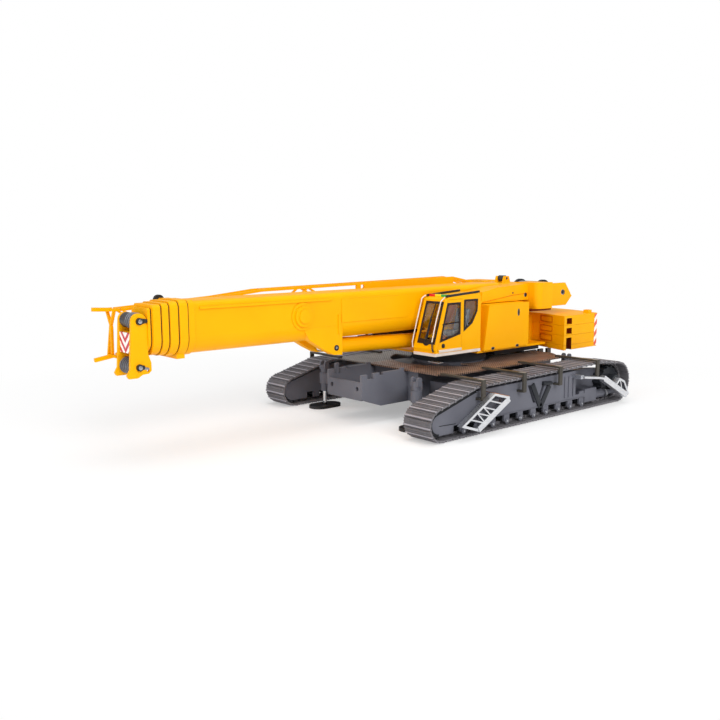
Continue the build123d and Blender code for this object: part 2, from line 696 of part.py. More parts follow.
# Carrier: centre box, with a tapped hole in its belly.
with BuildPart() as carrier:
    with BuildSketch(level(BOX_LOW_Z)):
        Rectangle(2 * BOX_X, 2 * BOX_Y)
    extrude(amount=BOX_HIGH_Z - BOX_LOW_Z)
    with BuildSketch(level(BOX_LOW_Z)):
        Circle(DISPLAY_HOLE_R)
    extrude(amount=DISPLAY_HOLE_DEEP, mode=Mode.SUBTRACT)
carrier.part.label = "carrier"
export_step(carrier.part, "parts/carrier.step")

with BuildPart() as slew_ring:
    with BuildSketch(level(BOX_HIGH_Z)):
        Circle(RING_LOW_R)
    extrude(amount=RING_LOW_TOP_Z - BOX_HIGH_Z)
slew_ring.part.label = "slew_ring"
export_step(slew_ring.part, "parts/slew_ring.step")

# Cross-beams that carry the track frames, two on each side.
for name, hand in SIDES:
    with BuildPart() as beams:
        with BuildSketch(level(BEAM_LOW_Z)):
            with GridLocations(2 * BEAM_X, 0, 2, 1):
                with Locations((0, hand * (BOX_Y + SEAT_GAP + FRAME_IN_Y) / 2)):
                    Rectangle(BEAM_LONG, FRAME_IN_Y - BOX_Y - SEAT_GAP)
        extrude(amount=BEAM_HIGH_Z - BEAM_LOW_Z)
    beams.part.label = f"cross_beams_{name}"
    export_step(beams.part, f"parts/cross_beams_{name}.step")

# Open tray at each end: two notched cheek plates, a sloping floor and an end plate with two holes.
tray_back_x = BOX_X + SEAT_GAP
for (end, fore), hole_y in zip(ENDS, TRAY_HOLE_YS):
    with BuildPart() as tray:
        for cheek in (-1, 1):
            with BuildSketch(side(cheek * (TRAY_Y - CHEEK_THICK / 2))):
                Polygon(
                    (fore * tray_back_x, BOX_LOW_Z),
                    (fore * tray_back_x, BOX_HIGH_Z),
                    *[(fore * (TRAY_TIP_X - behind), z) for behind, z in CHEEK_TOP],
                    *[(fore * (TRAY_TIP_X - behind), z) for behind, z in CHEEK_LOW],
                    align=None,
                )
            extrude(amount=CHEEK_THICK / 2, both=True)
        with BuildSketch(side(0)):
            with BuildLine():
                Polyline(
                    (fore * tray_back_x, TRAY_FLOOR_Z),
                    (fore * (TRAY_TIP_X - TRAY_RISE_BACK), TRAY_FLOOR_Z),
                    (fore * (TRAY_TIP_X - TRAY_RISE_FRONT), TRAY_LIP_Z),
                    (fore * (TRAY_TIP_X - CHEEK_THICK / 2), TRAY_LIP_Z),
                    (fore * (TRAY_TIP_X - CHEEK_THICK / 2), TRAY_FRONT_TOP_Z),
                )
            trace(line_width=CHEEK_THICK)
            with Locations((fore * tray_back_x, TRAY_FLOOR_Z)):
                Rectangle(
                    CHEEK_THICK,
                    2 * CHEEK_THICK,
                    align=(Align.MAX if fore > 0 else Align.MIN, Align.CENTER),
                    mode=Mode.SUBTRACT,
                )
        extrude(amount=TRAY_Y - CHEEK_THICK / 2, both=True)
        if fore > 0:
            with BuildSketch(side(-TRAY_Y + CHEEK_THICK / 2)):
                with Locations((TRAY_POST_X, TRAY_FRONT_TOP_Z)):
                    Rectangle(
                        TRAY_POST_LONG,
                        TRAY_POST_TOP_Z - TRAY_FRONT_TOP_Z,
                        align=(Align.CENTER, Align.MIN),
                    )
            extrude(amount=CHEEK_THICK / 2, both=True)
        with BuildSketch(across(fore * (TRAY_TIP_X + 1))):
            with GridLocations(2 * hole_y, 0, 2, 1):
                with Locations((0, TRAY_HOLE_Z)):
                    Circle(TRAY_HOLE_R)
        extrude(amount=-fore * (CHEEK_THICK + 2), mode=Mode.SUBTRACT)
    tray.part.label = f"tray_{end}"
    export_step(tray.part, f"parts/tray_{end}.step")

# Jack arms: each ends in a ring round a barrel, with two ears on top and a bore for the foot's rod.
with BuildPart() as jack_arms:
    for end, fore in ENDS:
        for name, hand in SIDES:
            with BuildSketch(level(ARM_BAND_LOW_Z)):
                with Locations((fore * (BOX_X - ARM_ROOT), hand * (BOX_Y - ARM_ROOT))):
                    Circle(ARM_WIDE / 2)
                with Locations((fore * JACK_X, hand * JACK_Y)):
                    Circle(JACK_R + ARM_RING)
                make_hull()
                Rectangle(2 * (BOX_X + SEAT_GAP), 2 * (BOX_Y + SEAT_GAP), mode=Mode.SUBTRACT)
            extrude(amount=ARM_BAND_HIGH_Z - ARM_BAND_LOW_Z)
            with BuildSketch(level(JACK_LOW_Z)):
                with Locations((fore * JACK_X, hand * JACK_Y)):
                    Circle(JACK_R)
            extrude(amount=JACK_HIGH_Z - JACK_LOW_Z)
            for ear in (-1, 1):
                with BuildSketch(side(hand * JACK_Y + ear * JACK_EAR_Y)):
                    with Locations((fore * JACK_X, JACK_EAR_Z - JACK_EAR_R)):
                        Circle(JACK_EAR_R)
                        Rectangle(
                            2 * JACK_EAR_R, 2 * JACK_EAR_R, align=(Align.CENTER, Align.MAX)
                        )
                extrude(amount=JACK_EAR_THICK / 2, both=True)
            with BuildSketch(level(JACK_LOW_Z)):
                with Locations((fore * JACK_X, hand * JACK_Y)):
                    Circle(JACK_ROD_R + JACK_BORE_SPARE)
            extrude(amount=JACK_BORE_TOP_Z - JACK_LOW_Z, mode=Mode.SUBTRACT)
jack_arms.part.label = "jack_arms"
export_step(jack_arms.part, "parts/jack_arms.step")

for end, fore in ENDS:
    for name, hand in SIDES:
        with BuildPart() as foot:
            with BuildSketch(level(0)):
                with Locations((fore * JACK_X, hand * JACK_Y)):
                    SlotOverall(PAD_LONG, PAD_WIDE)
            extrude(amount=PAD_THICK)
            with BuildSketch(level(PAD_THICK)):
                with Locations((fore * JACK_X, hand * JACK_Y)):
                    Circle(JACK_ROD_R)
            extrude(amount=JACK_ROD_TOP_Z - PAD_THICK)
        foot.part.label = f"jack_foot_{end}_{name}"
        export_step(foot.part, f"parts/jack_foot_{end}_{name}.step")

# ================================================================ superstructure
with BuildPart() as skirt:
    with BuildSketch(level(SKIRT_Z)):
        Circle(SKIRT_R)
    extrude(amount=FLOOR_Z - SKIRT_Z)
    with BuildSketch(level(TAIL_FRAME_LOW_Z)):
        with Locations((TAIL_FRAME_REAR_X, 0)):
            Rectangle(
                TAIL_FRAME_FRONT_X - TAIL_FRAME_REAR_X, 2 * TAIL_FRAME_Y, align=(Align.MIN, Align.CENTER)
            )
    extrude(amount=FLOOR_Z - TAIL_FRAME_LOW_Z)
skirt.part.label = "turntable"
export_step(skirt.part, "parts/turntable.step")

cheek_out = CHEEK_IN_Y + CHEEK_WALL
with BuildPart() as upper_frame:
    with BuildSketch(level(FLOOR_Z)):
        with Locations((FLOOR_REAR_X, 0)):
            Rectangle(
                CHEEK_FRONT_X - FLOOR_REAR_X, 2 * FLOOR_Y, align=(Align.MIN, Align.CENTER)
            )
        with Locations((CHEEK_FRONT_X, 0)):
            Rectangle(
                FLOOR_FRONT_X - CHEEK_FRONT_X, 2 * SHOULDER_OUT_Y, align=(Align.MIN, Align.CENTER)
            )
    extrude(amount=FLOOR_TOP_Z - FLOOR_Z)
    with BuildSketch(level(FLOOR_Z)):
        with Locations((CW_MID_FRONT_X, 0)):
            Rectangle(
                FLOOR_REAR_X + 4 - CW_MID_FRONT_X, 2 * cheek_out, align=(Align.MIN, Align.CENTER)
            )
    extrude(amount=CW_LOW_Z + sum(CW_SLABS) - 1 - FLOOR_Z)
    for hand in (-1, 1):
        with BuildSketch(side(hand * (CHEEK_IN_Y + CHEEK_WALL / 2))):
            Polygon(*CHEEK, align=None)
            with Locations((PIVOT_X, PIVOT_Z)):
                Circle(PIVOT_PIN_R + PIN_PLAY, mode=Mode.SUBTRACT)
        extrude(amount=CHEEK_WALL / 2, both=True)
        with BuildSketch(level(BRACKET_BOX_LOW_Z)) as box_plan:
            with Locations(((BRACKET_BOX_FRONT_X + BRACKET_BOX_REAR_X) / 2, hand * cheek_out)):
                Rectangle(
                    BRACKET_BOX_FRONT_X - BRACKET_BOX_REAR_X,
                    BRACKET_BOX_OUT_Y - cheek_out,
                    align=(Align.CENTER, Align.MIN if hand > 0 else Align.MAX),
                )
            corners = box_plan.vertices().group_by(Axis.X)[-1].sort_by(Axis.Y)
            fillet(corners[-1 if hand > 0 else 0], BRACKET_BOX_ROUND)
        extrude(amount=BRACKET_BOX_TOP_Z - BRACKET_BOX_LOW_Z)
        plate_y = hand * (WINCH_PLATE_OUT_Y - WINCH_PLATE_THICK / 2)
        with BuildSketch(side(plate_y)):
            Polygon(*WINCH_PLATE, align=None)
            with Locations((WINCH_X, WINCH_Z)):
                Circle(DRUM_SHAFT_R + PIN_PLAY, mode=Mode.SUBTRACT)
        extrude(amount=WINCH_PLATE_THICK / 2, both=True)
        with BuildSketch(side(hand * (CYL_FOOT_WIDE / 2 + EAR_GAP + CYL_EAR_THICK / 2))):
            with Locations((CYL_FOOT_X, CYL_FOOT_Z)):
                Circle(CYL_EAR_R)
                Rectangle(2 * CYL_EAR_R, CYL_FOOT_Z - FLOOR_Z, align=(Align.CENTER, Align.MAX))
                Circle(CYL_PIN_R + PIN_PLAY, mode=Mode.SUBTRACT)
        extrude(amount=CYL_EAR_THICK / 2, both=True)
    with BuildSketch(side(SHOULDER_OUT_Y)):
        Polygon(*SHOULDER, align=None)
    extrude(amount=SHOULDER_OUT_Y - cheek_out)
upper_frame.part.label = "upper_frame"
export_step(upper_frame.part, "parts/upper_frame.step")

with BuildPart() as boom_pin:
    with BuildSketch(side(0)):
        with Locations((PIVOT_X, PIVOT_Z)):
            Circle(PIVOT_PIN_R)
    extrude(amount=cheek_out, both=True)
boom_pin.part.label = "boom_pivot_pin"
export_step(boom_pin.part, "parts/boom_pivot_pin.step")

for name, hand in SIDES:
    with BuildPart() as cover:
        with BuildSketch(side(hand * (COVER_OUT_Y + cheek_out + SEAT_GAP) / 2)):
            Polygon(
                (COVER_FRONT_LOW_X, COVER_LOW_Z),
                (COVER_FRONT_TOP_X, COVER_TOP_Z),
                (COVER_REAR_X, COVER_TOP_Z),
                (COVER_REAR_X, COVER_LOW_Z),
                align=None,
            )
        extrude(amount=(COVER_OUT_Y - cheek_out - SEAT_GAP) / 2, both=True)
    cover.part.label = f"body_cover_{name}"
    export_step(cover.part, f"parts/body_cover_{name}.step")

# Counterweight: a stack of slabs, curved at the tail and splayed at the front.
low_z = CW_LOW_Z
for n, thick in enumerate(CW_SLABS):
    with BuildPart() as slab:
        with BuildSketch(level(low_z)):
            Circle(TAIL_RADIUS)
            Polygon(
                (CW_SIDE_FRONT_X, CW_Y),
                (-2 * TAIL_RADIUS, CW_Y),
                (-2 * TAIL_RADIUS, -CW_Y),
                (CW_SIDE_FRONT_X, -CW_Y),
                (CW_MID_FRONT_X, -CW_MID_Y),
                (CW_MID_FRONT_X, CW_MID_Y),
                align=None,
                mode=Mode.INTERSECT,
            )
        extrude(amount=thick)
        floor = CW_NOTCH_FLOOR if n > 1 else 0
        with BuildSketch(level(low_z + floor)):
            for hand in (-1, 1):
                with Locations((CW_NOTCH_X - CW_NOTCH_LONG / 2, hand * CW_Y)):
                    Rectangle(CW_NOTCH_LONG, 2 * CW_NOTCH_DEEP)
        extrude(amount=thick if n == 0 else CW_NOTCH_FLOOR - floor + CW_NOTCH_HIGH, mode=Mode.SUBTRACT)
        if n == len(CW_SLABS) - 1:
            with BuildSketch(level(low_z + thick)):
                for hand in (-1, 1):
                    with Locations((CW_LUG_X, hand * (CW_Y - CW_LUG_LONG))):
                        Rectangle(CW_LUG_LONG, CW_LUG_LONG)
            extrude(amount=CW_LUG_HIGH)
    slab.part.label = f"counterweight_slab_{n + 1}"
    export_step(slab.part, f"parts/counterweight_slab_{n + 1}.step")
    low_z = low_z + thick + CW_GAP

# Winch drum between its plates.
with BuildPart() as drum:
    with BuildSketch(side(0)):
        with Locations((WINCH_X, WINCH_Z)):
            Circle(DRUM_R)
    extrude(amount=DRUM_HALF, both=True)
    for hand in (-1, 1):
        with BuildSketch(side(hand * DRUM_HALF)):
            with Locations((WINCH_X, WINCH_Z)):
                Circle(DRUM_FLANGE_R)
        extrude(amount=DRUM_FLANGE_THICK / 2, both=True)
    with BuildSketch(side(0)):
        with Locations((WINCH_X, WINCH_Z)):
            Circle(DRUM_SHAFT_R)
    extrude(amount=WINCH_PLATE_OUT_Y, both=True)
drum.part.label = "winch_drum"
export_step(drum.part, "parts/winch_drum.step")

# ================================================================ cab
cab_floor_z = CAB_LOW_Z + CAB_BASE_THICK
cab_mid_y = (CAB_IN_Y + CAB_OUT_Y) / 2
cab_half = (CAB_OUT_Y - CAB_IN_Y) / 2
front_slope = (CAB_FRONT_TOP_X - CAB_FRONT_LOW_X) / (CAB_FRONT_TOP_Z - CAB_SILL_Z)
roof_slope = (CAB_ROOF_REAR_Z - CAB_ROOF_FRONT_Z) / (CAB_ROOF_REAR_X - CAB_ROOF_FRONT_X)


def cab_front_x(z, inset=0.0):
    """Front of the cab at height z, inset square to the windscreen."""
    return CAB_FRONT_LOW_X + front_slope * (z - CAB_SILL_Z) - inset * math.hypot(1, front_slope)


def cab_roof_z(x):
    """Height of the cab's roof at x."""
    return CAB_ROOF_FRONT_Z + roof_slope * (x - CAB_ROOF_FRONT_X)


def on_roof(rear_x, front_x, high):
    """Upright slab standing on the cab's roof, seen from the side."""
    with BuildSketch() as slab:
        Polygon(
            (rear_x, cab_roof_z(rear_x) + SEAT_GAP),
            (front_x, cab_roof_z(front_x) + SEAT_GAP),
            (front_x, cab_roof_z(front_x) + high),
            (rear_x, cab_roof_z(rear_x) + high),
            align=None,
        )
    return slab.sketch


def cab_side(inset):
    """Cab's side outline, inset from its outer face."""
    with BuildSketch() as outline:
        Polygon(
            (CAB_REAR_X + inset, cab_floor_z + inset),
            (cab_front_x(CAB_SILL_Z, inset) - CAB_TUCK, cab_floor_z + inset),
            (cab_front_x(CAB_SILL_Z, inset), CAB_SILL_Z),
            (cab_front_x(CAB_FRONT_TOP_Z, inset), CAB_FRONT_TOP_Z - inset * 0.3),
            (CAB_ROOF_FRONT_X - inset * 0.4, CAB_ROOF_FRONT_Z - inset),
            (CAB_ROOF_REAR_X + inset * 0.4, CAB_ROOF_REAR_Z - inset),
            (CAB_REAR_X + inset, CAB_SHOULDER_Z - inset * 0.4),
            align=None,
        )
    return outline.sketch


door_low_z = cab_floor_z + DOOR_MARGIN
DOOR_OUTLINE = (
    (DOOR_REAR_X, door_low_z),
    (DOOR_REAR_X, DOOR_TOP_Z),
    (cab_front_x(DOOR_TOP_Z, DOOR_FRONT_MARGIN), DOOR_TOP_Z),
    (cab_front_x(door_low_z, DOOR_FRONT_MARGIN), door_low_z),
)
DOOR_WINDOW = ((33.0, 62.2), (23.1, 62.2), (23.1, 45.3), (38.6, 42.0))  # x, z
REAR_WINDOW = ((19.9, 63.4), (9.1, 63.4), (9.4, 57.1), (13.4, 50.6), (20.0, 46.7))  # x, z

with BuildPart() as cab_shell:
    with BuildSketch(side(cab_mid_y)):
        add(cab_side(0))
    extrude(amount=cab_half, both=True)
    with BuildSketch(side(cab_mid_y)):
        add(cab_side(CAB_WALL))
    extrude(amount=cab_half - CAB_WALL, both=True, mode=Mode.SUBTRACT)
    with BuildSketch(side(CAB_OUT_Y)):
        Polygon(*DOOR_OUTLINE, align=None)
        Polygon(*REAR_WINDOW, align=None)
    extrude(amount=2 * CAB_WALL, both=True, mode=Mode.SUBTRACT)
    with BuildSketch(side(CAB_IN_Y)):
        Polygon(*REAR_WINDOW, align=None)
        Polygon(*DOOR_WINDOW, align=None)
    extrude(amount=2 * CAB_WALL, both=True, mode=Mode.SUBTRACT)
    with BuildSketch(across(CAB_FRONT_LOW_X)):
        with Locations((SCREEN_IN_Y, SCREEN_LOW_Z)):
            Rectangle(SCREEN_OUT_Y - SCREEN_IN_Y, SCREEN_HIGH, align=(Align.MIN, Align.MIN))
    extrude(amount=(CAB_REAR_X - CAB_FRONT_LOW_X) / 2, mode=Mode.SUBTRACT)
cab_shell.part.label = "cab_shell"
export_step(cab_shell.part, "parts/cab_shell.step")

with BuildPart() as cab_door:
    with BuildSketch(side(CAB_OUT_Y)) as door_face:
        Polygon(*DOOR_OUTLINE, align=None)
        offset(amount=-DOOR_GAP, mode=Mode.REPLACE)
        Polygon(*DOOR_WINDOW, align=None, mode=Mode.SUBTRACT)
    extrude(amount=CAB_WALL)
cab_door.part.label = "cab_door"
export_step(cab_door.part, "parts/cab_door.step")

# Window panes, each in the middle of its panel's thickness.
with BuildPart() as cab_glass:
    for outer_y, inward in ((CAB_OUT_Y, 1), (CAB_IN_Y, -1)):
        with BuildSketch(side(outer_y - inward * (CAB_WALL - GLASS_THICK) / 2)):
            Polygon(*REAR_WINDOW, align=None)
            Polygon(*DOOR_WINDOW, align=None)
            offset(amount=-SEAT_GAP, mode=Mode.REPLACE)
        extrude(amount=inward * GLASS_THICK)
    pane_out = (CAB_WALL - GLASS_THICK) / 2
    pane_in = pane_out + GLASS_THICK
    screen_top_z = SCREEN_LOW_Z + SCREEN_HIGH
    with BuildSketch(side((SCREEN_IN_Y + SCREEN_OUT_Y) / 2)):
        Polygon(
            (cab_front_x(SCREEN_LOW_Z, pane_out), SCREEN_LOW_Z),
            (cab_front_x(screen_top_z, pane_out), screen_top_z),
            (cab_front_x(screen_top_z, pane_in), screen_top_z),
            (cab_front_x(SCREEN_LOW_Z, pane_in), SCREEN_LOW_Z),
            align=None,
        )
    extrude(amount=(SCREEN_OUT_Y - SCREEN_IN_Y) / 2 - SEAT_GAP, both=True)
cab_glass.part.label = "cab_glass"
export_step(cab_glass.part, "parts/cab_glass.step")

with BuildPart() as cab_base:
    with BuildSketch(level(CAB_LOW_Z)):
        with Locations((CAB_REAR_X, cab_mid_y)):
            Rectangle(
                CAB_FRONT_LOW_X - CAB_REAR_X, 2 * cab_half, align=(Align.MIN, Align.CENTER)
            )
    extrude(amount=CAB_BASE_THICK)
    with BuildSketch(side(SHOULDER_OUT_Y)):
        with Locations((CAB_HINGE_X, CAB_HINGE_Z)):
            Circle(CAB_HINGE_R)
            Rectangle(2 * CAB_HINGE_R, CAB_HINGE_R, align=(Align.CENTER, Align.MIN), mode=Mode.SUBTRACT)
    extrude(amount=SHOULDER_OUT_Y - CAB_IN_Y - 1)
cab_base.part.label = "cab_base"
export_step(cab_base.part, "parts/cab_base.step")

with BuildPart() as cab_seat:
    with BuildSketch(side(cab_mid_y)):
        Polygon(*SEAT, align=None)
    extrude(amount=SEAT_WIDE / 2, both=True)
cab_seat.part.label = "cab_seat"
export_step(cab_seat.part, "parts/cab_seat.step")

with BuildPart() as cab_rails:
    for y in (CAB_IN_Y + RAIL_THICK, CAB_OUT_Y - RAIL_THICK):
        with BuildSketch(side(y)):
            add(on_roof(RAIL_REAR_X, RAIL_FRONT_X, RAIL_HIGH))
        extrude(amount=RAIL_THICK / 2, both=True)
cab_rails.part.label = "cab_roof_rails"
export_step(cab_rails.part, "parts/cab_roof_rails.step")

# Load-warning lamps in a bar across the front of the roof, between the rails.
with BuildPart() as lamp_bar:
    with BuildSketch(side(cab_mid_y)):
        add(on_roof(CAB_ROOF_FRONT_X - LAMP_BAR_LONG, CAB_ROOF_FRONT_X - SEAT_GAP, LAMP_BAR_HIGH))
    extrude(amount=cab_half - 1.5 * RAIL_THICK - SEAT_GAP, both=True)
lamp_bar.part.label = "cab_lamp_bar"
export_step(lamp_bar.part, "parts/cab_lamp_bar.step")

# ================================================================ boom


def boom_section(inset, corner_min):
    """Boom cross-section, inset from the base section's outer face."""
    with BuildSketch() as section:
        with Locations((0, BOOM_LOW_Z + BOOM_HIGH / 2)):
            Rectangle(BOOM_WIDTH - 2 * inset, BOOM_HIGH - 2 * inset)
        fillet(section.vertices().group_by(Axis.Y)[-1], max(BOOM_TOP_R - inset, corner_min))
        fillet(section.vertices().group_by(Axis.Y)[0], max(BOOM_LOW_R - inset, corner_min))
    return section.sketch


ear_in = EYE_WIDE / 2 + EAR_GAP
EAR_THICK = BOOM_WIDTH / 2 - ear_in  # the lug's plates are flush with the boom's sides
with BuildPart() as boom_base:
    with BuildSketch(across(BOOM_REAR_X)):
        add(boom_section(0, CORNER_MIN))
    extrude(amount=BASE_FRONT_X - BOOM_REAR_X)
    with BuildSketch(across(BASE_FRONT_X)):
        add(boom_section(-BASE_BAND_PROUD, CORNER_MIN))
    extrude(amount=-BASE_BAND_LONG)
    with BuildSketch(side(0)):
        with Locations((PIVOT_X, PIVOT_Z)):
            Circle(FOOT_R)
        Polygon(
            (PIVOT_X, PIVOT_Z + FOOT_R),
            (BOOM_REAR_X, BOOM_LOW_Z + BOOM_HIGH - BOOM_TOP_R / 2),
            (BOOM_REAR_X, BOOM_LOW_Z + BOOM_LOW_R / 2),
            (PIVOT_X, PIVOT_Z - FOOT_R),
            align=None,
        )
    extrude(amount=BOOM_WIDTH / 2, both=True)
    for hand in (-1, 1):
        with BuildSketch(side(hand * (ear_in + EAR_THICK / 2))):
            Polygon(*LUG, align=None)
        extrude(amount=EAR_THICK / 2, both=True)
        for radius, height in TRUNNION_RINGS:
            with BuildSketch(side(0)):
                with Locations((TRUNNION_X, TRUNNION_Z)):
                    Circle(radius)
            extrude(amount=hand * (BOOM_WIDTH / 2 + height))
        with BuildSketch(side(hand * BOOM_WIDTH / 2)):
            with Locations((RIB_X, RIB_LOW_Z)):
                Rectangle(RIB_WIDE, RIB_HIGH, align=(Align.CENTER, Align.MIN))
        extrude(amount=-hand * RIB_PROUD)
        with BuildSketch(side(hand * BOOM_WIDTH / 2)) as panel:
            with Locations((PANEL_REAR_X, PANEL_LOW_Z)):
                Rectangle(
                    PANEL_FRONT_X - PANEL_REAR_X, PANEL_HIGH_Z - PANEL_LOW_Z, align=(Align.MIN, Align.MIN)
                )
            fillet(panel.vertices().group_by(Axis.X)[0], PANEL_ROUND)
        extrude(amount=-hand * PANEL_PROUD)
        with BuildSketch(side(hand * BOOM_WIDTH / 2)):
            with Locations((TOP_RAIL_REAR_X, TOP_RAIL_LOW_Z)):
                Rectangle(
                    TOP_RAIL_FRONT_X - TOP_RAIL_REAR_X, TOP_RAIL_HIGH, align=(Align.MIN, Align.MIN)
                )
        extrude(amount=-hand * TOP_RAIL_PROUD)
    with BuildSketch(across(BOOM_REAR_X)):
        add(boom_section(BOOM_WALL, CORNER_MIN - BOOM_WALL))
    extrude(amount=BASE_FRONT_X - BOOM_REAR_X, mode=Mode.SUBTRACT)
    with BuildSketch(side(0)):
        with Locations((PIVOT_X, PIVOT_Z)):
            Circle(PIVOT_PIN_R + PIN_PLAY)
    extrude(amount=BOOM_WIDTH, both=True, mode=Mode.SUBTRACT)
    for hand in (-1, 1):
        with BuildSketch(side(hand * SHEAVE_EAR_Y)):
            Polygon(
                (SHEAVE_X - FOOT_R / 2, PIVOT_Z + FOOT_R * 0.8),
                (SHEAVE_X - SHEAVE_EAR_R, SHEAVE_Z + SHEAVE_EAR_R * 0.7),
                (SHEAVE_X + SHEAVE_EAR_R, SHEAVE_Z + SHEAVE_EAR_R * 0.7),
                (SHEAVE_X + FOOT_R / 2, PIVOT_Z + FOOT_R * 0.8),
                align=None,
            )
            with Locations((SHEAVE_X, SHEAVE_Z)):
                Circle(SHEAVE_PIN_R + PIN_PLAY, mode=Mode.SUBTRACT)
        extrude(amount=SHEAVE_EAR_THICK / 2, both=True)
boom_base.part.label = "boom_base"
export_step(boom_base.part, "parts/boom_base.step")

section_front_x = BASE_FRONT_X
for n, (collar_length, collar_proud) in enumerate(COLLARS):
    outer = (n + 1) * (BOOM_WALL + BOOM_GAP)
    rear_x = BOOM_REAR_X + (n + 1) * SECTION_REAR_STEP
    collar_x = section_front_x + COLLAR_GAP
    section_front_x = collar_x + collar_length
    with BuildPart() as section:
        with BuildSketch(across(rear_x)):
            add(boom_section(outer, CORNER_MIN))
        extrude(amount=section_front_x - rear_x)
        with BuildSketch(across(collar_x)):
            add(boom_section(-collar_proud, CORNER_MIN))
        extrude(amount=collar_length)
        if n == 0:
            with BuildSketch(across(collar_x)):
                with Locations((0, BOOM_LOW_Z + BOOM_WALL)):
                    Rectangle(FOOT_PAD_WIDE, FOOT_PAD_HIGH, align=(Align.CENTER, Align.MAX))
            extrude(amount=collar_length)
        with BuildSketch(across(rear_x)):
            add(boom_section(outer + BOOM_WALL, CORNER_MIN - BOOM_WALL))
        closed = END_WALL if n == len(COLLARS) - 1 else 0
        extrude(amount=section_front_x - rear_x - closed, mode=Mode.SUBTRACT)
    section.part.label = f"boom_section_{n + 1}"
    export_step(section.part, f"parts/boom_section_{n + 1}.step")

with BuildPart() as guide_wheel:
    guide_in_y = BOOM_WIDTH / 2 + COLLARS[0][1] + SEAT_GAP
    with BuildSketch(side(-GUIDE_OUT_Y)):
        with Locations((GUIDE_X, GUIDE_Z)):
            Circle(GUIDE_R)
    extrude(amount=-GUIDE_THICK)
    with BuildSketch(side(-GUIDE_OUT_Y)):
        with Locations((GUIDE_X, BOOM_LOW_Z + BOOM_HIGH - BOOM_TOP_R - GUIDE_HUB_R)):
            Circle(GUIDE_HUB_R)
    extrude(amount=guide_in_y - GUIDE_OUT_Y)
guide_wheel.part.label = "boom_guide_wheel"
export_step(guide_wheel.part, "parts/boom_guide_wheel.step")

# Boom head: two side plates on the last section, with sheaves between them.
HEAD_OUTLINE = (
    (section_front_x, 48.0),
    (section_front_x, 60.6),
    (UPPER_PIN_X - 3.0, 61.6),
    (UPPER_PIN_X + 3.4, 62.6),
    (203.0, 41.9),
    (204.4, 39.4),
    (203.6, 38.1),
    (199.6, 38.1),
    (197.4, 39.4),
    (194.6, 39.6),
    (193.3, 40.8),
    (193.3, 44.3),
)
with BuildPart() as boom_head:
    for hand in (-1, 1):
        with BuildSketch(side(hand * (HEAD_PLATE_OUT_Y - HEAD_PLATE_THICK / 2))):
            Polygon(*HEAD_OUTLINE, align=None)
            with Locations((UPPER_PIN_X, UPPER_PIN_Z)):
                Circle(HEAD_ROUND_R)
            with Locations((UPPER_PIN_X, UPPER_PIN_Z), (LOWER_PIN_X, LOWER_PIN_Z)):
                Circle(HEAD_PIN_R, mode=Mode.SUBTRACT)
            with Locations(HEAD_HOLE):
                Circle(HEAD_HOLE_R, mode=Mode.SUBTRACT)
        extrude(amount=HEAD_PLATE_THICK / 2, both=True)
    with BuildSketch(across(section_front_x)):
        with Locations((0, HEAD_WEB_LOW_Z)):
            Rectangle(
                2 * HEAD_PLATE_OUT_Y - HEAD_PLATE_THICK,
                HEAD_WEB_HIGH,
                align=(Align.CENTER, Align.MIN),
            )
    extrude(amount=HEAD_WEB_LONG)
boom_head.part.label = "boom_head"
export_step(boom_head.part, "parts/boom_head.step")

head_in = HEAD_PLATE_OUT_Y - HEAD_PLATE_THICK
with BuildPart() as head_pins:
    for x, z in ((UPPER_PIN_X, UPPER_PIN_Z), (LOWER_PIN_X, LOWER_PIN_Z)):
        with BuildSketch(side(0)):
            with Locations((x, z)):
                Circle(HEAD_PIN_R - PIN_PLAY)
        extrude(amount=HEAD_PLATE_OUT_Y + HEAD_PIN_PROUD, both=True)
head_pins.part.label = "head_pins"
export_step(head_pins.part, "parts/head_pins.step")

for name, x, z, radius in (
    ("upper", UPPER_PIN_X, UPPER_PIN_Z, UPPER_SHEAVE_R),
    ("lower", LOWER_PIN_X, LOWER_PIN_Z, LOWER_SHEAVE_R),
):
    with BuildPart() as sheave:
        with BuildSketch(side(0)):
            with Locations((x, z)):
                Circle(radius)
                Circle(HEAD_PIN_R, mode=Mode.SUBTRACT)
        extrude(amount=head_in - SHEAVE_PLAY, both=True)
    sheave.part.label = f"head_sheaves_{name}"
    export_step(sheave.part, f"parts/head_sheaves_{name}.step")

with BuildPart() as marker:
    with BuildSketch(across(MARKER_X)):
        with Locations((0, (MARKER_LOW_Z + MARKER_TOP_Z) / 2)):
            Rectangle(2 * head_in, MARKER_TOP_Z - MARKER_LOW_Z)
    extrude(amount=-MARKER_THICK)
marker.part.label = "head_marker_plate"
export_step(marker.part, "parts/head_marker_plate.step")

with BuildPart() as foot_sheave:
    with BuildSketch(side(0)):
        with Locations((SHEAVE_X, SHEAVE_Z)):
            Circle(SHEAVE_R)
    extrude(amount=SHEAVE_EAR_Y - SHEAVE_EAR_THICK / 2 - 0.2, both=True)
    with BuildSketch(side(0)):
        with Locations((SHEAVE_X, SHEAVE_Z)):
            Circle(SHEAVE_PIN_R)
    extrude(amount=SHEAVE_EAR_Y + SHEAVE_EAR_THICK / 2, both=True)
foot_sheave.part.label = "foot_sheave"
export_step(foot_sheave.part, "parts/foot_sheave.step")

# ================================================================ luffing cylinder
cyl_run = math.hypot(EYE_X - CYL_FOOT_X, EYE_Z - CYL_FOOT_Z)
cyl_tilt = math.degrees(math.atan2(EYE_Z - CYL_FOOT_Z, EYE_X - CYL_FOOT_X))
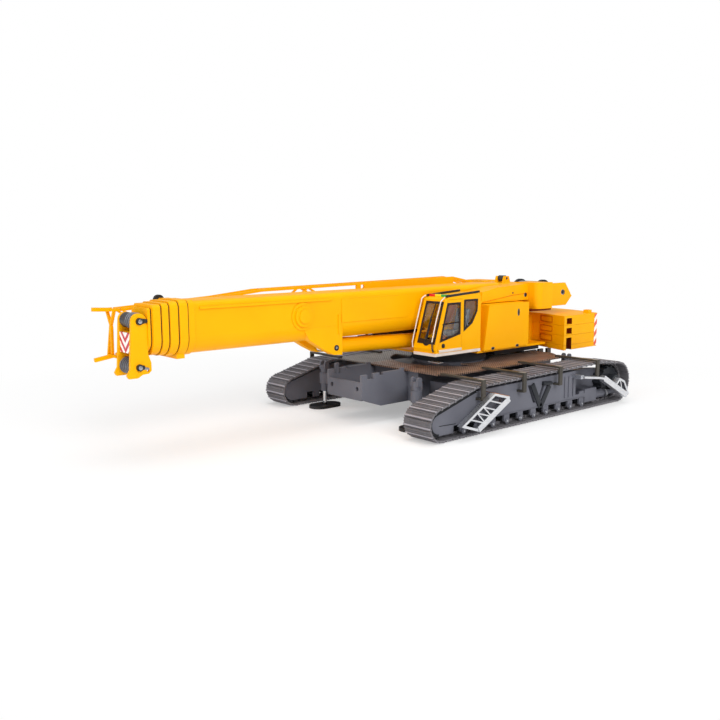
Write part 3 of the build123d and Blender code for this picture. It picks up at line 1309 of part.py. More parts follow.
# Plane square to the cylinder at its foot: its normal runs along the rod.
cylinder_plane = Plane(
    origin=(SLEW_X + CYL_FOOT_X, 0, CYL_FOOT_Z),
    x_dir=(0, 1, 0),
    z_dir=(math.cos(math.radians(cyl_tilt)), 0, math.sin(math.radians(cyl_tilt))),
)
barrel_end = cyl_run - GLAND_BACK
with BuildPart() as barrel:
    with BuildSketch(side(0)):
        with Locations((CYL_FOOT_X, CYL_FOOT_Z)):
            Circle(CYL_FOOT_R)
    extrude(amount=CYL_FOOT_WIDE / 2, both=True)
    with BuildSketch(side(0)):
        with Locations((CYL_FOOT_X, CYL_FOOT_Z)):
            Circle(CYL_PIN_R)
    extrude(amount=CYL_FOOT_WIDE / 2 + EAR_GAP + CYL_EAR_THICK, both=True)
    with BuildSketch(cylinder_plane):
        Circle(CYL_R)
    extrude(amount=barrel_end)
    with BuildSketch(cylinder_plane.offset(CYL_FOOT_R + 2)):
        Circle(ROD_R + CYL_BORE_SPARE)
    extrude(amount=cyl_run, mode=Mode.SUBTRACT)
barrel.part.label = "luffing_barrel"
export_step(barrel.part, "parts/luffing_barrel.step")

with BuildPart() as rod:
    with BuildSketch(side(0)):
        with Locations((EYE_X, EYE_Z)):
            Circle(EYE_R)
    extrude(amount=EYE_WIDE / 2, both=True)
    with BuildSketch(cylinder_plane.offset(CYL_FOOT_R + 4)):
        Circle(ROD_R)
    extrude(amount=cyl_run - CYL_FOOT_R - 4)
rod.part.label = "luffing_rod"
export_step(rod.part, "parts/luffing_rod.step")

# ================================================================ stowed jib
with BuildPart() as jib:
    for y in (JIB_NEAR_Y, JIB_FAR_Y):
        with BuildSketch(side(y)):
            with BuildLine():
                Polyline(*JIB_TOP)
                Polyline(*JIB_LOW)
            trace(line_width=JIB_BAR)
            bay_x = JIB_TOP[0][0]
            bays = round((JIB_TOP[-1][0] - bay_x) / JIB_BAY)
            step = (JIB_TOP[-1][0] - bay_x) / bays
            with BuildLine():
                for n in range(bays):
                    x0 = bay_x + n * step
                    x1 = x0 + step
                    rising = n % 2 == 0
                    z0 = slice_between(JIB_LOW if rising else JIB_TOP, x0)
                    z1 = slice_between(JIB_TOP if rising else JIB_LOW, x1)
                    Line((x0, z0), (x1, z1))
            trace(line_width=JIB_BRACE)
        extrude(amount=JIB_BAR / 2, both=True)
    with BuildSketch(side(JIB_NEAR_Y)):
        Polygon(
            JIB_TOP[1],
            (JIB_WEB_FRONT_X, slice_between(JIB_TOP, JIB_WEB_FRONT_X)),
            (JIB_WEB_FRONT_X, slice_between(JIB_TOP, JIB_WEB_FRONT_X) - JIB_WEB_DEEP),
            (JIB_TOP[1][0], JIB_TOP[1][1] - JIB_WEB_DEEP),
            align=None,
        )
    extrude(amount=JIB_BAR / 2, both=True)
    for n in range(bays + 1):
        x = bay_x + n * step
        for line in (JIB_TOP, JIB_LOW):
            with BuildSketch(side((JIB_NEAR_Y + JIB_FAR_Y) / 2)):
                with Locations((x, slice_between(line, x))):
                    Rectangle(JIB_BAR, JIB_BAR)
            extrude(amount=(JIB_NEAR_Y - JIB_FAR_Y) / 2, both=True)
    for x, proud in JIB_POSTS:
        with BuildSketch(side(JIB_NEAR_Y)):
            Polygon(
                (x - JIB_POST_LONG / 2, slice_between(JIB_LOW, x)),
                (x + JIB_POST_LONG / 2, slice_between(JIB_LOW, x)),
                (x + JIB_POST_LONG / 2, slice_between(JIB_TOP, x)),
                (x - JIB_POST_LONG / 2, slice_between(JIB_TOP, x)),
                align=None,
            )
        extrude(amount=JIB_BAR / 2, both=True)
        with BuildSketch(side(-BOOM_WIDTH / 2 - proud - SEAT_GAP)):
            with Locations((x, JIB_FOOT_LOW_Z)):
                Rectangle(JIB_POST_LONG, JIB_FOOT_HIGH, align=(Align.CENTER, Align.MIN))
        extrude(amount=-BOOM_WIDTH / 2 - proud - SEAT_GAP - JIB_NEAR_Y)
jib.part.label = "jib_lattice"
export_step(jib.part, "parts/jib_lattice.step")

# End frame in front of the lattice: a bar at the top and at the bottom, and crossed braces between.
jib_mid_y = (JIB_NEAR_Y + JIB_FAR_Y) / 2
with BuildPart() as jib_frame:
    for z, tip_z in ((JIB_TOP[-1][1], END_TIP_TOP_Z), (JIB_LOW[-1][1], END_TIP_LOW_Z)):
        for y in (JIB_NEAR_Y, JIB_FAR_Y):
            with BuildSketch(side(y)):
                with BuildLine():
                    Line((JIB_FRONT_X + JIB_BAR, z), (END_FRAME_X + JIB_BAR / 2, z))
                trace(line_width=JIB_BAR)
            extrude(amount=JIB_BAR / 2, both=True)
        with BuildSketch(across(END_FRAME_X)):
            with Locations((jib_mid_y, z)):
                Rectangle(JIB_NEAR_Y - JIB_FAR_Y, JIB_BAR)
        extrude(amount=JIB_BAR / 2, both=True)
        with BuildSketch(side(jib_mid_y)):
            with BuildLine():
                Line((END_FRAME_X, z), (JIB_TIP_X, tip_z))
            trace(line_width=END_BAR)
        extrude(amount=END_BAR / 2, both=True)
    with BuildSketch(across(END_FRAME_X)):
        for brace in END_BRACES:
            with BuildLine():
                Polyline(*brace)
            trace(line_width=JIB_BAR)
    extrude(amount=JIB_BAR / 2, both=True)
jib_frame.part.label = "jib_end_frame"
export_step(jib_frame.part, "parts/jib_end_frame.step")
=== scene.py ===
"""Looks of the telescopic crawler crane: its finishes, and the fine pieces that ride on its frame.

Lengths are in millimetres from the slew centre (X forward, Y to the machine's left, Z up) until a
mesh is made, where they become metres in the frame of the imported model.
"""

import json
import logging
import math
from dataclasses import dataclass
from enum import Enum
from typing import Any, Callable, Iterable, Sequence

import bmesh
import bpy
from mathutils import Euler, Matrix, Vector


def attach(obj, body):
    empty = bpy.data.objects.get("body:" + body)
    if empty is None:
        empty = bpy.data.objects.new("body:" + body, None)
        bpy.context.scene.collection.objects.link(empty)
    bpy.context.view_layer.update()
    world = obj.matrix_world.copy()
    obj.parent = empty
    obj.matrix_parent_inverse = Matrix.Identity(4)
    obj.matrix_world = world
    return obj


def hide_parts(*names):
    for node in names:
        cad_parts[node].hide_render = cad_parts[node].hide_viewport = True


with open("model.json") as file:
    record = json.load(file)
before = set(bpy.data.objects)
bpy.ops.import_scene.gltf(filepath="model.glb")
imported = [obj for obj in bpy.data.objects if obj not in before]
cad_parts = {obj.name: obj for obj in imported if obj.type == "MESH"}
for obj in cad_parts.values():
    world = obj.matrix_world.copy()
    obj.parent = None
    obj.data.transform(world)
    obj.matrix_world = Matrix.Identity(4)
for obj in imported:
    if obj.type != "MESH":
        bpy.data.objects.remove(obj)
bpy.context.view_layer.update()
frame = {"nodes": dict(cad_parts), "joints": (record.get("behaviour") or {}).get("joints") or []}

logging.basicConfig(level=logging.INFO, format="%(message)s")
log = logging.getLogger("crane")

MM = 0.001
SLEW = next(joint for joint in frame["joints"] if joint["name"] == "slew")["pos_m"]
Point2 = tuple[float, float]
Point3 = tuple[float, float, float]
SIDES = (("left", 1), ("right", -1))

BEVEL_STEPS = 2
BEVEL_ANGLE = math.radians(32)  # sharper edges get a bevel
CRISP_ANGLE = math.radians(35)  # sharper edges stay crisp when shaded

MATH = "ShaderNodeMath"
COMBINE = "ShaderNodeCombineXYZ"
SEPARATE = "ShaderNodeSeparateXYZ"
RANGE = "ShaderNodeMapRange"
NOISE = "ShaderNodeTexNoise"
MAPPING = "ShaderNodeMapping"
TO_CURVE = "GeometryNodeMeshToCurve"
TRANSFORM = "GeometryNodeTransform"
CUBE = "GeometryNodeMeshCube"
JOIN = "GeometryNodeJoinGeometry"
ON_POINTS = "GeometryNodeInstanceOnPoints"


def at(x: float, y: float, z: float) -> Vector:
    """Turns millimetres from the slew centre into the frame's metres.

    Args:
        x: Distance forward.
        y: Distance to the left.
        z: Height.

    Returns:
        The place in metres.
    """
    return Vector((SLEW[0] + x * MM, y * MM, z * MM))


# ------------------------------------------------------------------------------ finishes


def linear(colour: str) -> tuple[float, float, float, float]:
    """Turns an sRGB hex colour such as "#ffaa00" into linear light.

    Args:
        colour: The colour as six hex digits after a hash.

    Returns:
        Red, green, blue and an alpha of 1.
    """
    shares = [int(colour[n : n + 2], 16) / 255 for n in (1, 3, 5)]
    light = [s / 12.92 if s <= 0.04045 else ((s + 0.055) / 1.055) ** 2.4 for s in shares]
    return (light[0], light[1], light[2], 1.0)


def add_node(tree: Any, kind: str, inputs: dict | None = None, **settings: Any) -> Any:
    """Adds a node to a tree, with its settings, values and links.

    Args:
        tree: The shader or geometry tree.
        kind: The node's type name.
        inputs: For each input, by name or number, a value or the socket that feeds it.
        **settings: The node's own properties.

    Returns:
        The new node.
    """
    node = tree.nodes.new(kind)
    for name, value in settings.items():
        setattr(node, name, value)
    for key, value in (inputs or {}).items():
        if isinstance(value, bpy.types.NodeSocket):
            tree.links.new(value, node.inputs[key])
        else:
            node.inputs[key].default_value = value
    return node


def per_metre(size_mm: float) -> float:
    """Turns the size of a pattern's features into its scale.

    Args:
        size_mm: The size in millimetres.

    Returns:
        The scale for coordinates in metres.
    """
    return 1000.0 / size_mm


@dataclass(frozen=True)
class Finish:
    """A surface finish that becomes one procedural material.

    Attributes:
        name: The material's name.
        colour: Main colour, sRGB hex.
        second: The colour that it varies towards.
        roughness: Middle roughness.
    """

    name: str
    colour: str
    second: str
    roughness: float

    def material(self) -> bpy.types.Material:
        """Makes the finish's material on its first use.

        Returns:
            The material.
        """
        made = bpy.data.materials.get(self.name)
        if made is None:
            made = bpy.data.materials.new(self.name)
            made.use_nodes = True
            tree = made.node_tree
            tree.nodes.clear()
            shader = add_node(tree, "ShaderNodeBsdfPrincipled", self.inputs(tree))
            add_node(tree, "ShaderNodeOutputMaterial", {"Surface": shader.outputs[0]})
        return made

    def inputs(self, tree: Any) -> dict[str, Any]:
        """Adds the finish's patterns.

        Args:
            tree: The material's tree.

        Returns:
            The shader's inputs, each a value or the socket that feeds it.
        """
        raise NotImplementedError

    def place(self, tree: Any) -> Any:
        """Adds the coordinates that patterns read, in metres on the piece.

        Args:
            tree: The material's tree.

        Returns:
            The coordinates' socket.
        """
        return add_node(tree, "ShaderNodeTexCoord").outputs["Object"]

    def cloud(self, tree: Any, size_mm: float, detail: float = 2.0) -> Any:
        """Adds soft noise with features of a given size.

        Args:
            tree: The material's tree.
            size_mm: Size of the patches.
            detail: Octaves of finer noise.

        Returns:
            The noise's value socket.
        """
        place = self.place(tree)
        inputs = {"Vector": place, "Scale": per_metre(size_mm), "Detail": detail}
        return add_node(tree, NOISE, inputs).outputs[0]

    def spread(self, tree: Any, value: Any, low: float, high: float) -> Any:
        """Maps a noise value to a narrow range.

        Args:
            tree: The material's tree.
            value: Socket with a value around one half.
            low: Result at the low end.
            high: Result at the high end.

        Returns:
            The mapped value's socket.
        """
        inputs = {"Value": value, "From Min": 0.3, "From Max": 0.7, "To Min": low, "To Max": high}
        return add_node(tree, RANGE, inputs).outputs[0]

    def blend(self, tree: Any, share: Any, first: Any, last: Any) -> Any:
        """Mixes two colours.

        Args:
            tree: The material's tree.
            share: Socket or value, 0 for the first colour and 1 for the last.
            first: Linear colour or socket.
            last: Linear colour or socket.

        Returns:
            The mixed colour's socket.
        """
        inputs = {0: share, 6: first, 7: last}
        settings = {"data_type": "RGBA", "clamp_factor": True}
        return add_node(tree, "ShaderNodeMix", inputs, **settings).outputs[2]

    def tones(self, tree: Any, value: Any) -> Any:
        """Varies the colour towards the second one.

        Args:
            tree: The material's tree.
            value: Socket with the noise that it follows.

        Returns:
            The colour's socket.
        """
        share = self.spread(tree, value, 0.0, 1.0)
        return self.blend(tree, share, linear(self.colour), linear(self.second))

    def gloss(self, tree: Any, value: Any, less: float, more: float) -> Any:
        """Varies the roughness about its middle.

        Args:
            tree: The material's tree.
            value: Socket with the noise that it follows.
            less: How far it falls.
            more: How far it rises.

        Returns:
            The roughness's socket.
        """
        return self.spread(tree, value, self.roughness - less, self.roughness + more)

    def relief(self, tree: Any, height: Any, depth_mm: float, round_mm: float = 0.0) -> Any:
        """Adds a bump of a real depth over slightly rounded edges.

        Args:
            tree: The material's tree.
            height: Socket with the height, from 0 to 1.
            depth_mm: Depth of the relief.
            round_mm: Radius at which sharp edges catch the light, or 0.

        Returns:
            The normal's socket.
        """
        inputs = {"Height": height, "Distance": depth_mm * MM, "Strength": 1.0}
        if round_mm:
            edge = add_node(tree, "ShaderNodeBevel", {"Radius": round_mm * MM}, samples=4)
            inputs["Normal"] = edge.outputs[0]
        return add_node(tree, "ShaderNodeBump", inputs).outputs[0]


@dataclass(frozen=True)
class Enamel(Finish):
    """Sprayed enamel: slight orange peel, soft clouds of tone and a thin clear coat.

    Attributes:
        coat: Weight of the clear coat.
        peel_mm: Size of the orange peel.
        round_mm: How round its edges look.
        specular: Mirror strength, below the typical 0.5 so that the colour stays saturated.
    """

    coat: float = 0.3
    peel_mm: float = 0.9
    round_mm: float = 0.22
    specular: float = 0.1

    def inputs(self, tree: Any) -> dict[str, Any]:
        """Adds the enamel's patterns.

        Args:
            tree: The material's tree.

        Returns:
            The shader's inputs.
        """
        peel = self.cloud(tree, self.peel_mm, 1.0)
        return {
            "Base Color": self.tones(tree, self.cloud(tree, 24.0, 3.0)),
            "Roughness": self.gloss(tree, self.cloud(tree, 6.0), 0.05, 0.07),
            "Normal": self.relief(tree, peel, 0.010, self.round_mm),
            "Specular IOR Level": self.specular,
            "Coat Weight": self.coat,
            "Coat Roughness": 0.12,
        }


@dataclass(frozen=True)
class BareMetal(Finish):
    """Bare or plated metal with fine drawn lines.

    Attributes:
        stretch: How much longer the lines are along X than across.
        line_mm: Width of the lines.
    """

    stretch: float = 12.0
    line_mm: float = 0.35

    def inputs(self, tree: Any) -> dict[str, Any]:
        """Adds the metal's lines.

        Args:
            tree: The material's tree.

        Returns:
            The shader's inputs.
        """
        scale = (1.0 / self.stretch, 1.0, 1.0)
        drawn = add_node(tree, MAPPING, {"Vector": self.place(tree), "Scale": scale})
        noise = {"Vector": drawn.outputs[0], "Scale": per_metre(self.line_mm), "Detail": 2.0}
        lines = add_node(tree, NOISE, noise).outputs[0]
        return {
            "Base Color": self.tones(tree, lines),
            "Roughness": self.gloss(tree, lines, 0.06, 0.08),
            "Normal": self.relief(tree, lines, 0.006, 0.12),
            "Metallic": 1.0,
        }


@dataclass(frozen=True)
class Moulding(Finish):
    """Moulded plastic or rubber with a fine matt grain.

    Attributes:
        grain_mm: Size of the grain.
        depth_mm: Depth of the grain.
    """

    grain_mm: float = 0.35
    depth_mm: float = 0.02

    def inputs(self, tree: Any) -> dict[str, Any]:
        """Adds the plastic's grain.

        Args:
            tree: The material's tree.

        Returns:
            The shader's inputs.
        """
        grain = self.cloud(tree, self.grain_mm, 1.0)
        return {
            "Base Color": self.tones(tree, self.cloud(tree, 7.0)),
            "Roughness": self.gloss(tree, self.cloud(tree, 2.0), 0.08, 0.08),
            "Normal": self.relief(tree, grain, self.depth_mm, 0.15),
        }


@dataclass(frozen=True)
class Perforated(Finish):
    """Etched tread sheet: a fine staggered grid of dark holes in worn metal.

    Attributes:
        pitch_mm: Distance between rows of holes.
        metallic: How metallic the sheet is.
        hole: Colour inside the holes.
    """

    pitch_mm: float = 1.15
    metallic: float = 0.55
    hole: str = "#120e0c"

    def inputs(self, tree: Any) -> dict[str, Any]:
        """Adds the sheet's holes and wear.

        Args:
            tree: The material's tree.

        Returns:
            The shader's inputs.
        """
        turn = (0.0, 0.0, math.radians(45.0))
        turned = add_node(tree, MAPPING, {"Vector": self.place(tree), "Rotation": turn})
        axes = add_node(tree, SEPARATE, {0: turned.outputs[0]})
        rate = 2 * math.pi * per_metre(self.pitch_mm)
        waves = []
        for axis in ("X", "Y"):
            angle = add_node(tree, MATH, {0: axes.outputs[axis], 1: rate}, operation="MULTIPLY")
            wave = add_node(tree, MATH, {0: angle.outputs[0]}, operation="SINE")
            waves.append(wave.outputs[0])
        both = add_node(tree, MATH, dict(enumerate(waves)), operation="ADD").outputs[0]
        range_of = {"Value": both, "From Min": 0.2, "From Max": 1.0, "To Min": 0.0, "To Max": 1.0}
        hole = add_node(tree, RANGE, range_of).outputs[0]
        sheet = self.tones(tree, self.cloud(tree, 13.0, 3.0))
        flat = add_node(tree, MATH, {0: 1.0, 1: hole}, operation="SUBTRACT").outputs[0]
        return {
            "Base Color": self.blend(tree, hole, sheet, linear(self.hole)),
            "Roughness": self.gloss(tree, self.cloud(tree, 3.0), 0.1, 0.1),
            "Normal": self.relief(tree, flat, 0.25),
            "Metallic": self.metallic,
        }


@dataclass(frozen=True)
class Bands(Finish):
    """Slanted red and white warning bands.

    Attributes:
        width_mm: Width of one red and one white band together.
        slope: Sideways run of a band for each millimetre of height.
        mirrored: True where the bands meet in a chevron at Y = 0.
        along: Axis that the bands follow each other on.
    """

    width_mm: float = 5.0
    slope: float = 1.0
    mirrored: bool = False
    along: str = "Y"

    def inputs(self, tree: Any) -> dict[str, Any]:
        """Adds the bands.

        Args:
            tree: The material's tree.

        Returns:
            The shader's inputs.
        """
        axes = add_node(tree, SEPARATE, {0: self.place(tree)})
        part = axes.outputs[self.along]
        if self.mirrored:
            part = add_node(tree, MATH, {0: part}, operation="ABSOLUTE").outputs[0]
        lean = add_node(tree, MATH, {0: axes.outputs["Z"], 1: self.slope}, operation="MULTIPLY")
        for operation, other in (
            ("ADD", lean.outputs[0]),
            ("MULTIPLY", per_metre(self.width_mm)),
            ("FRACT", 0.0),
            ("GREATER_THAN", 0.5),
        ):
            part = add_node(tree, MATH, {0: part, 1: other}, operation=operation).outputs[0]
        return {
            "Base Color": self.blend(tree, part, linear(self.colour), linear(self.second)),
            "Roughness": self.gloss(tree, self.cloud(tree, 3.0), 0.06, 0.06),
            "Normal": self.relief(tree, self.cloud(tree, 0.6), 0.006),
        }


@dataclass(frozen=True)
class Glazing(Finish):
    """Clear moulded windows with a faint tint.

    Attributes:
        ior: Index of refraction.
    """

    ior: float = 1.45

    def inputs(self, tree: Any) -> dict[str, Any]:
        """Adds the panes' faint clouds.

        Args:
            tree: The material's tree.

        Returns:
            The shader's inputs.
        """
        return {
            "Base Color": self.tones(tree, self.cloud(tree, 9.0)),
            "Roughness": self.roughness,
            "Transmission Weight": 1.0,
            "IOR": self.ior,
        }


@dataclass(frozen=True)
class Lamps(Finish):
    """A bar of red, yellow and green lenses, side by side along Y.

    Attributes:
        third: Colour of the last lens.
        start_mm: Y of the bar's first end.
        lens_mm: Width of one lens.
    """

    third: str = "#2fae4a"
    start_mm: float = 15.0
    lens_mm: float = 4.5

    def inputs(self, tree: Any) -> dict[str, Any]:
        """Adds the lenses.

        Args:
            tree: The material's tree.

        Returns:
            The shader's inputs.
        """
        axes = add_node(tree, SEPARATE, {0: self.place(tree)})
        colour = linear(self.colour)
        for count, after in enumerate((self.second, self.third), 1):
            edge = (self.start_mm + count * self.lens_mm) * MM
            past = add_node(tree, MATH, {0: axes.outputs["Y"], 1: edge}, operation="GREATER_THAN")
            colour = self.blend(tree, past.outputs[0], colour, linear(after))
        return {
            "Base Color": colour,
            "Roughness": self.gloss(tree, self.cloud(tree, 2.0), 0.05, 0.05),
            "Normal": self.relief(tree, self.cloud(tree, 0.5), 0.02, 0.15),
        }


class Paint:
    """The crane's finishes, each named for what it is on the real thing; some paint shade or
    highlight into their colour.
    """

    # Warm glossy yellow skin.
    YELLOW = Enamel("yellow_enamel_gloss", "#fdb400", "#fbac00", 0.4, coat=0.02)
    # Painted shade: darker yellow in the seams and round the grips.
    SEAM_SHADE = Enamel("yellow_enamel_in_shade", "#d98200", "#c87200", 0.5, coat=0.0)
    # Painted shade: dark red-brown in the depths of slots and gaps.
    CAVITY_SHADE = Enamel("yellow_enamel_painted_cavity_shade", "#7a2c06", "#5c1d04", 0.6, coat=0.0)
    # Blue-grey castings.
    SLATE = Enamel("slate_grey_enamel_satin", "#6c6d76", "#5f6069", 0.4, coat=0.08)
    # Turntable and wheels.
    DARK = Enamel("dark_grey_enamel_satin", "#33353a", "#2a2c30", 0.45, coat=0.1)
    # Worn shoes.
    TRACK = Enamel("track_shoe_grey_worn", "#7d7b7f", "#676569", 0.38, coat=0.1, peel_mm=0.5)
    # Painted shadow: dark strips where the shoes shade the crawler's frame.
    FRAME_GAP_SHADOW = Enamel("painted_shadow_frame_gap", "#26272a", "#1d1e20", 0.5, coat=0.05)
    # Edges rubbed bright, and a painted highlight along the shoes' edges.
    LIP_WEAR_AND_HIGHLIGHT = Enamel("track_lip_wear_and_painted_highlight", "#b0adb2", "#94919a", 0.34, coat=0.1)
    # Painted highlight on the brackets' folded top edges.
    CAP_HIGHLIGHT = Enamel("bracket_edge_painted_highlight", "#9a9790", "#86837c", 0.4, coat=0.1)
    # Folded sheet brackets.
    BRACKET = Enamel("bracket_olive_grey", "#4c4842", "#3d3a35", 0.42, coat=0.1)
    # Brown pierced tread.
    BRONZE = Perforated("etched_tread_bronze", "#b69886", "#8a7062", 0.42)
    # Grey pierced tread.
    GRATE = Perforated("etched_tread_grey", "#a09a94", "#827c76", 0.45)
    # Bright sheet ladders.
    ALUMINIUM = BareMetal("ladder_bare_aluminium", "#e2e3e6", "#cfd1d6", 0.3)
    # Coppery cut edges.
    COPPER = BareMetal("step_copper_etch", "#d08a58", "#b8754a", 0.34)
    # Plated rods.
    CHROME = BareMetal("rod_hard_chrome", "#e6e8ea", "#d4d7db", 0.14, line_mm=0.2)
    # Turned pins.
    STEEL = BareMetal("pin_turned_steel", "#b4b6ba", "#9a9ca1", 0.26)
    # Rims rubbed by the rope.
    RIB = Moulding("sheave_rim_worn_grey", "#85858b", "#68686f", 0.4)
    # Dark grooved wheels.
    SHEAVE = Moulding("sheave_dark_nylon", "#3a3a40", "#29292e", 0.42)
    # Black fittings.
    BLACK = Moulding("black_moulded_plastic", "#1b1b1e", "#121214", 0.5)
    # Window seals, and the painted shade in the gaps between the boom's collars.
    RUBBER_AND_GAP_SHADE = Moulding("window_rubber_and_collar_gap_shade", "#1f0c08", "#150705", 0.65)
    # Woven seat.
    SEAT = Moulding("seat_grey_cloth", "#8d9095", "#777a80", 0.7, grain_mm=0.5, depth_mm=0.05)
    # Off-white trim.
    PALE = Moulding("pale_trim_off_white", "#efe4da", "#dccfc4", 0.4)
    # Strands of the winch's rope.
    ROPE = Moulding("wire_rope_grey", "#8c8f94", "#5f6166", 0.42, grain_mm=0.3, depth_mm=0.05)
    # Clear moulded panes.
    GLASS = Glazing("window_clear_glazing", "#f6fafb", "#eef4f6", 0.02)
    # Lenses of the lamp bar.
    LAMPS = Lamps("lamp_bar_three_lenses", "#e0202a", "#e8dc20", 0.22)
    # Warning chevron on the head.
    CHEVRON = Bands(
        "chevron_red_white", "#f6f4f0", "#c8283c", 0.35, width_mm=4.4, slope=-1.0, mirrored=True
    )
    # Warning stripes on the counterweight's edge.
    STRIPES = Bands(
        "edge_stripes_red_white", "#f6f3ee", "#e2553c", 0.35, width_mm=6.0, slope=1.0, along="X"
    )


def dress(finish: Finish, *nodes: str) -> None:
    """Gives CAD nodes a finish through their objects' material slots.

    Args:
        finish: The finish that they get.
        *nodes: The nodes' names.
    """
    for name in nodes:
        piece = frame["nodes"][name]
        if not piece.material_slots:
            piece.data.materials.append(None)
        for slot in piece.material_slots:
            slot.link = "OBJECT"
            slot.material = finish.material()


# ------------------------------------------------------------------------------ mesh tools


class Plane3(Enum):
    """The plane that an outline is drawn on, and so the axis that it is extruded along."""

    SIDE = "side"  # outline in X and Z, depth along Y
    LEVEL = "level"  # outline in X and Y, depth along Z
    ACROSS = "across"  # outline in Y and Z, depth along X

    def point(self, a: float, b: float, depth: float) -> Vector:
        """Works out the place of an outline's point.

        Args:
            a: Its first coordinate on the plane.
            b: Its second coordinate on the plane.
            depth: Its distance along the third axis.

        Returns:
            The place in the frame's metres.
        """
        if self is Plane3.SIDE:
            return at(a, depth, b)
        if self is Plane3.LEVEL:
            return at(a, b, depth)
        return at(depth, a, b)


def inset(outline: Sequence[Point2], reach: float) -> list[Point2]:
    """Moves an outline's sides inwards.

    Args:
        outline: Its corners, in either order.
        reach: How far the sides move, less than 0 for outwards.

    Returns:
        The new corners, in the same order.
    """
    count = len(outline)
    area = sum(
        outline[n - 1][0] * outline[n][1] - outline[n][0] * outline[n - 1][1] for n in range(count)
    )
    turn = 1 if area > 0 else -1
    moved = []
    for n, (a, b) in enumerate(outline):
        before, after = outline[n - 1], outline[(n + 1) % count]
        first = Vector((a - before[0], b - before[1])).normalized()
        last = Vector((after[0] - a, after[1] - b)).normalized()
        inward = ((Vector((-first.y, first.x)) + Vector((-last.y, last.x))) * turn).normalized()
        far = reach / max(inward.dot(Vector((-first.y, first.x)) * turn), 0.3)
        moved.append((a + inward.x * far, b + inward.y * far))
    return moved


def rounded(outline: Sequence[Point2], radius: float, steps: int = 3) -> list[list[Point2]]:
    """Eases an outline's corners.

    Args:
        outline: Its corners.
        radius: How far from a corner its curve starts.
        steps: Chords of each curve.

    Returns:
        One short run of points for each corner.
    """
    arcs = []
    for n, corner in enumerate(outline):
        ends = []
        for other in (outline[n - 1], outline[(n + 1) % len(outline)]):
            run = math.dist(corner, other)
            cut = min(radius, 0.45 * run) / run
            ends.append([corner[i] + (other[i] - corner[i]) * cut for i in (0, 1)])
        arc = []
        for t in (k / steps for k in range(steps + 1)):
            shares = ((1 - t) ** 2, 2 * t * (1 - t), t * t)
            parts = zip(ends[0], corner, ends[1])
            arc.append(tuple(sum(w * c for w, c in zip(shares, part)) for part in parts))
        arcs.append(arc)
    return arcs


def oval(centre: Point2, wide: float, high: float, sides: int = 20) -> list[Point2]:
    """Works out an oval's points.

    Args:
        centre: Its middle.
        wide: Its whole width.
        high: Its whole height.
        sides: Number of points.

    Returns:
        The points, in order.
    """
    a, b = centre
    turns = [2 * math.pi * n / sides for n in range(sides)]
    return [(a + wide / 2 * math.cos(t), b + high / 2 * math.sin(t)) for t in turns]


